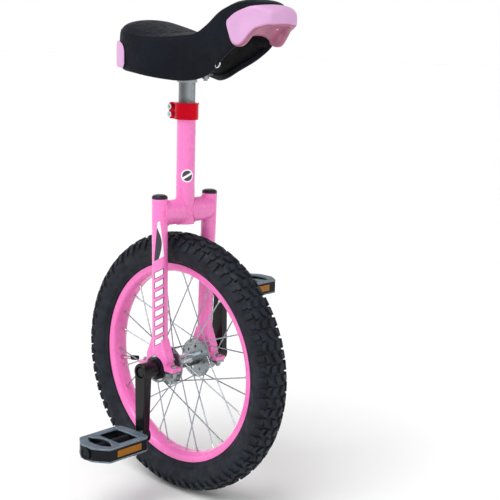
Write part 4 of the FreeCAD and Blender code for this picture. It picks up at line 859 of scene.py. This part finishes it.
def pedal_plate_pieces():
    """Moulded tread plates: rounded edges, a square window and a crescent near the outer end, with low grip ridges."""
    for side, sg, body, hz in (("left", 1, "left_pedal", HZ + 0.101), ("right", -1, "right_pedal", HZ - 0.101)):
        lo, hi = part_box("pedal_plates_" + side)
        pi = min(abs(lo[1]), abs(hi[1])) * 1000.0 + 1.0
        po = max(abs(lo[1]), abs(hi[1])) * 1000.0 - 0.5
        half = max(abs(lo[0]), abs(hi[0])) * 1000.0
        zs = (lo[2] + 0.0015, hi[2] - 0.0015)

        def fillet(points, r, n=5):
            out = []
            m = len(points)
            for k in range(m):
                a, b, c = Vector(points[k - 1]), Vector(points[k]), Vector(points[(k + 1) % m])
                d1, d2 = (a - b), (c - b)
                rr = min(r, d1.length * 0.45, d2.length * 0.45)
                p, q = b + d1.normalized() * rr, b + d2.normalized() * rr
                for t in range(n + 1):
                    u = t / n
                    out.append((1 - u) ** 2 * p + 2 * u * (1 - u) * b + u * u * q)
            return out

        outline = fillet([(12, pi - 1), (half - 5.5, pi + 1), (half, pi + 7), (half, po - 15.5), (half - 6.5, po - 10.5), (12.5, po + 0.5), (-12.5, po + 0.5),
                          (-half + 6.5, po - 10.5), (-half, po - 15.5), (-half, pi + 7), (-half + 5.5, pi + 1), (-12, pi - 1)], 3.0)
        window = fillet([(24.5, pi + 14.5), (24.5, pi + 52.2), (-24.5, pi + 52.2), (-24.5, pi + 14.5)], 3.0)
        moon = [(26.0, pi + 70.0), (23.0, pi + 73.6), (12.0, pi + 79.2), (0.0, pi + 80.0), (-12.0, pi + 79.2), (-23.0, pi + 73.6), (-26.0, pi + 70.0)]
        moon += [(-26.4 + 52.8 * k / 18, pi + 68.4 - 11.0 * math.sin(math.pi * k / 18)) for k in range(0, 19)]
        for n, zc in enumerate(zs):
            cu = bpy.data.curves.new("plate_curve", "CURVE")
            cu.dimensions, cu.fill_mode = "2D", "BOTH"
            cu.extrude, cu.bevel_depth, cu.bevel_resolution = 0.00055, 0.0006, 3
            cu.offset = -0.0006
            for loop in (outline, window, [Vector(p) for p in moon]):
                sp = cu.splines.new("POLY")
                sp.points.add(len(loop) - 1)
                for k, p in enumerate(loop):
                    sp.points[k].co = (p[0] * MM, sg * p[1] * MM, 0, 1)
                sp.use_cyclic_u = True
            tmp = bpy.data.objects.new("plate_tmp", cu)
            bpy.context.scene.collection.objects.link(tmp)
            bpy.context.view_layer.update()
            me = bpy.data.meshes.new_from_object(tmp.evaluated_get(bpy.context.evaluated_depsgraph_get()))
            bpy.data.objects.remove(tmp)
            up = 1 if zc > hz else -1
            verts = [(v.co.x, v.co.y, v.co.z + zc - up * 0.0003) for v in me.vertices]
            faces = [tuple(pl.vertices) for pl in me.polygons]
            bpy.data.meshes.remove(me)
            # grip ridges: short raised bars along both long edges, on the plate's outer face
            for xs in (1, -1):
                for r in range(9):
                    yc = pi + 13.0 + r * 5.2
                    base = len(verts)
                    for lift, grow in ((0.6, 1.0), (1.45, 0.6)):
                        for cx, cy in ((-3.2, -0.9), (3.2, -0.9), (3.2, 0.9), (-3.2, 0.9)):
                            verts.append(((xs * 30.2 + cx * grow) * MM, sg * (yc + cy * grow) * MM, zc + up * lift * MM))
                    faces += [(base, base + 1, base + 5, base + 4), (base + 1, base + 2, base + 6, base + 5), (base + 2, base + 3, base + 7, base + 6),
                              (base + 3, base, base + 4, base + 7), (base + 4, base + 5, base + 6, base + 7), (base + 3, base + 2, base + 1, base)]
            name = "pedal_tread_%s_%s" % (side, "up" if up > 0 else "down")
            ob = new_mesh(name, verts, faces, M["pedal_grey"], body, node="pedal_plates_" + side)
            smooth_by_angle(ob, 35)


def small_metal():
    # a wire hook on the cover's lower edge
    pts = [(93, -35.0, 468), (95, -37.6, 463.5), (98, -39.0, 461.2), (102, -39.2, 462.0), (104, -38.2, 466.0), (104, -36.5, 470)]
    bead("cover_hook", [(x * MM, y * MM, HZ + z * MM) for x, y, z in pts], 0.0010, M["bright_steel"], "seat", ripple=0.0, closed=False)
    # two small pan-head screws that hold the handle, under its arch
    for k, (x, y, z) in enumerate(((158, -19.0, 517.6), (158, 19.0, 517.6))):
        rings = []
        for lift, r in ((3.0, 1.6), (0.6, 1.7), (0.3, 3.3), (-0.8, 3.4), (-1.7, 2.6), (-2.0, 1.2), (-1.5, 0.6)):
            rings.append([((x + r * math.cos(2 * math.pi * j / 20)) * MM, (y + r * math.sin(2 * math.pi * j / 20)) * MM, HZ + (z + lift) * MM) for j in range(20)])
        verts, faces = skin_rings(rings)
        new_mesh("handle_screw_%d" % (k + 1), verts, faces, M["bright_steel"], "seat")


pedal_plate_pieces()
small_metal()

# ------------------------------------------------------------------ stage and light
fl = bpy.data.meshes.new("floor")
fl.from_pydata([(-40, -40, 0), (40, -40, 0), (40, 40, 0), (-40, 40, 0)], [], [(0, 1, 2, 3)])
floor = bpy.data.objects.new("floor", fl)
bpy.context.scene.collection.objects.link(floor)
floor.location.z = -0.0002
fm = Mat("floor_pale", (0.93, 0.93, 0.93), 0.8, spec=0.1)
fm.vary((0.925, 0.925, 0.927), (0.94, 0.94, 0.94), 2.0)
fl.materials.append(fm.m)

world = bpy.data.worlds.new("studio")
bpy.context.scene.world = world
world.use_nodes = True
wt = world.node_tree
bg = wt.nodes["Background"]
tc = wt.nodes.new("ShaderNodeTexCoord")
sep = wt.nodes.new("ShaderNodeSeparateXYZ")
wt.links.new(tc.outputs["Generated"], sep.inputs[0])


def wmath(op, a, b=None):
    n = wt.nodes.new("ShaderNodeMath")
    n.operation = op
    for sock, v in ((n.inputs[0], a), (n.inputs[1], b)):
        if v is None:
            continue
        if isinstance(v, (int, float)):
            sock.default_value = v
        else:
            wt.links.new(v, sock)
    return n.outputs[0]


# a pale studio: white wall up to eye height, dimmer above, with broad soft panels, and a bright ceiling
rise = wt.nodes.new("ShaderNodeValToRGB")
rise.color_ramp.elements[0].position, rise.color_ramp.elements[0].color = 0.24, (1.0, 1.0, 1.0, 1)
rise.color_ramp.elements[1].position, rise.color_ramp.elements[1].color = 0.42, (0.36, 0.36, 0.36, 1)
for pos, v in ((0.78, 0.36), (0.95, 0.85)):
    el = rise.color_ramp.elements.new(pos)
    el.color = (v, v, v, 1)
wt.links.new(sep.outputs[2], rise.inputs[0])
az = wmath("ARCTAN2", sep.outputs[1], sep.outputs[0])
panels = wmath("ADD", wmath("MULTIPLY", wmath("SINE", wmath("ADD", wmath("MULTIPLY", az, 3.0), 0.9)), 0.45), 1.0)
wide = wt.nodes.new("ShaderNodeMapRange")
wide.inputs["From Min"].default_value, wide.inputs["From Max"].default_value = 0.24, 0.40
wt.links.new(sep.outputs[2], wide.inputs["Value"])
level = wmath("ADD", 1.0, wmath("MULTIPLY", wide.outputs[0], wmath("SUBTRACT", panels, 1.0)))
mixed = wmath("MULTIPLY", rise.outputs[0], level)
wt.links.new(mixed, bg.inputs[1])
bg.inputs[0].default_value = (1.0, 1.0, 1.0, 1)

sun = bpy.data.lights.new("soft_sun", "SUN")
sun.energy, sun.angle = 2.0, math.radians(45)
so = bpy.data.objects.new("soft_sun", sun)
bpy.context.scene.collection.objects.link(so)
so.rotation_euler = Vector((-0.028, 0.70, -1.10)).to_track_quat("-Z", "Y").to_euler()


def area(name, loc, target, size, power, color=(1, 1, 1)):
    d = bpy.data.lights.new(name, "AREA")
    d.shape, d.size, d.energy, d.color = "SQUARE", size, power, color
    o = bpy.data.objects.new(name, d)
    bpy.context.scene.collection.objects.link(o)
    o.location = loc
    o.rotation_euler = (Vector(target) - Vector(loc)).to_track_quat("-Z", "Y").to_euler()
    return o


area("key", (0.6, -2.0, 2.4), (0, 0, 0.35), 1.8, 6)
area("fill", (2.2, 0.6, 1.6), (0, 0, 0.35), 1.8, 3)
area("rim_light", (-1.8, 1.2, 2.0), (0, 0, 0.4), 1.4, 3)
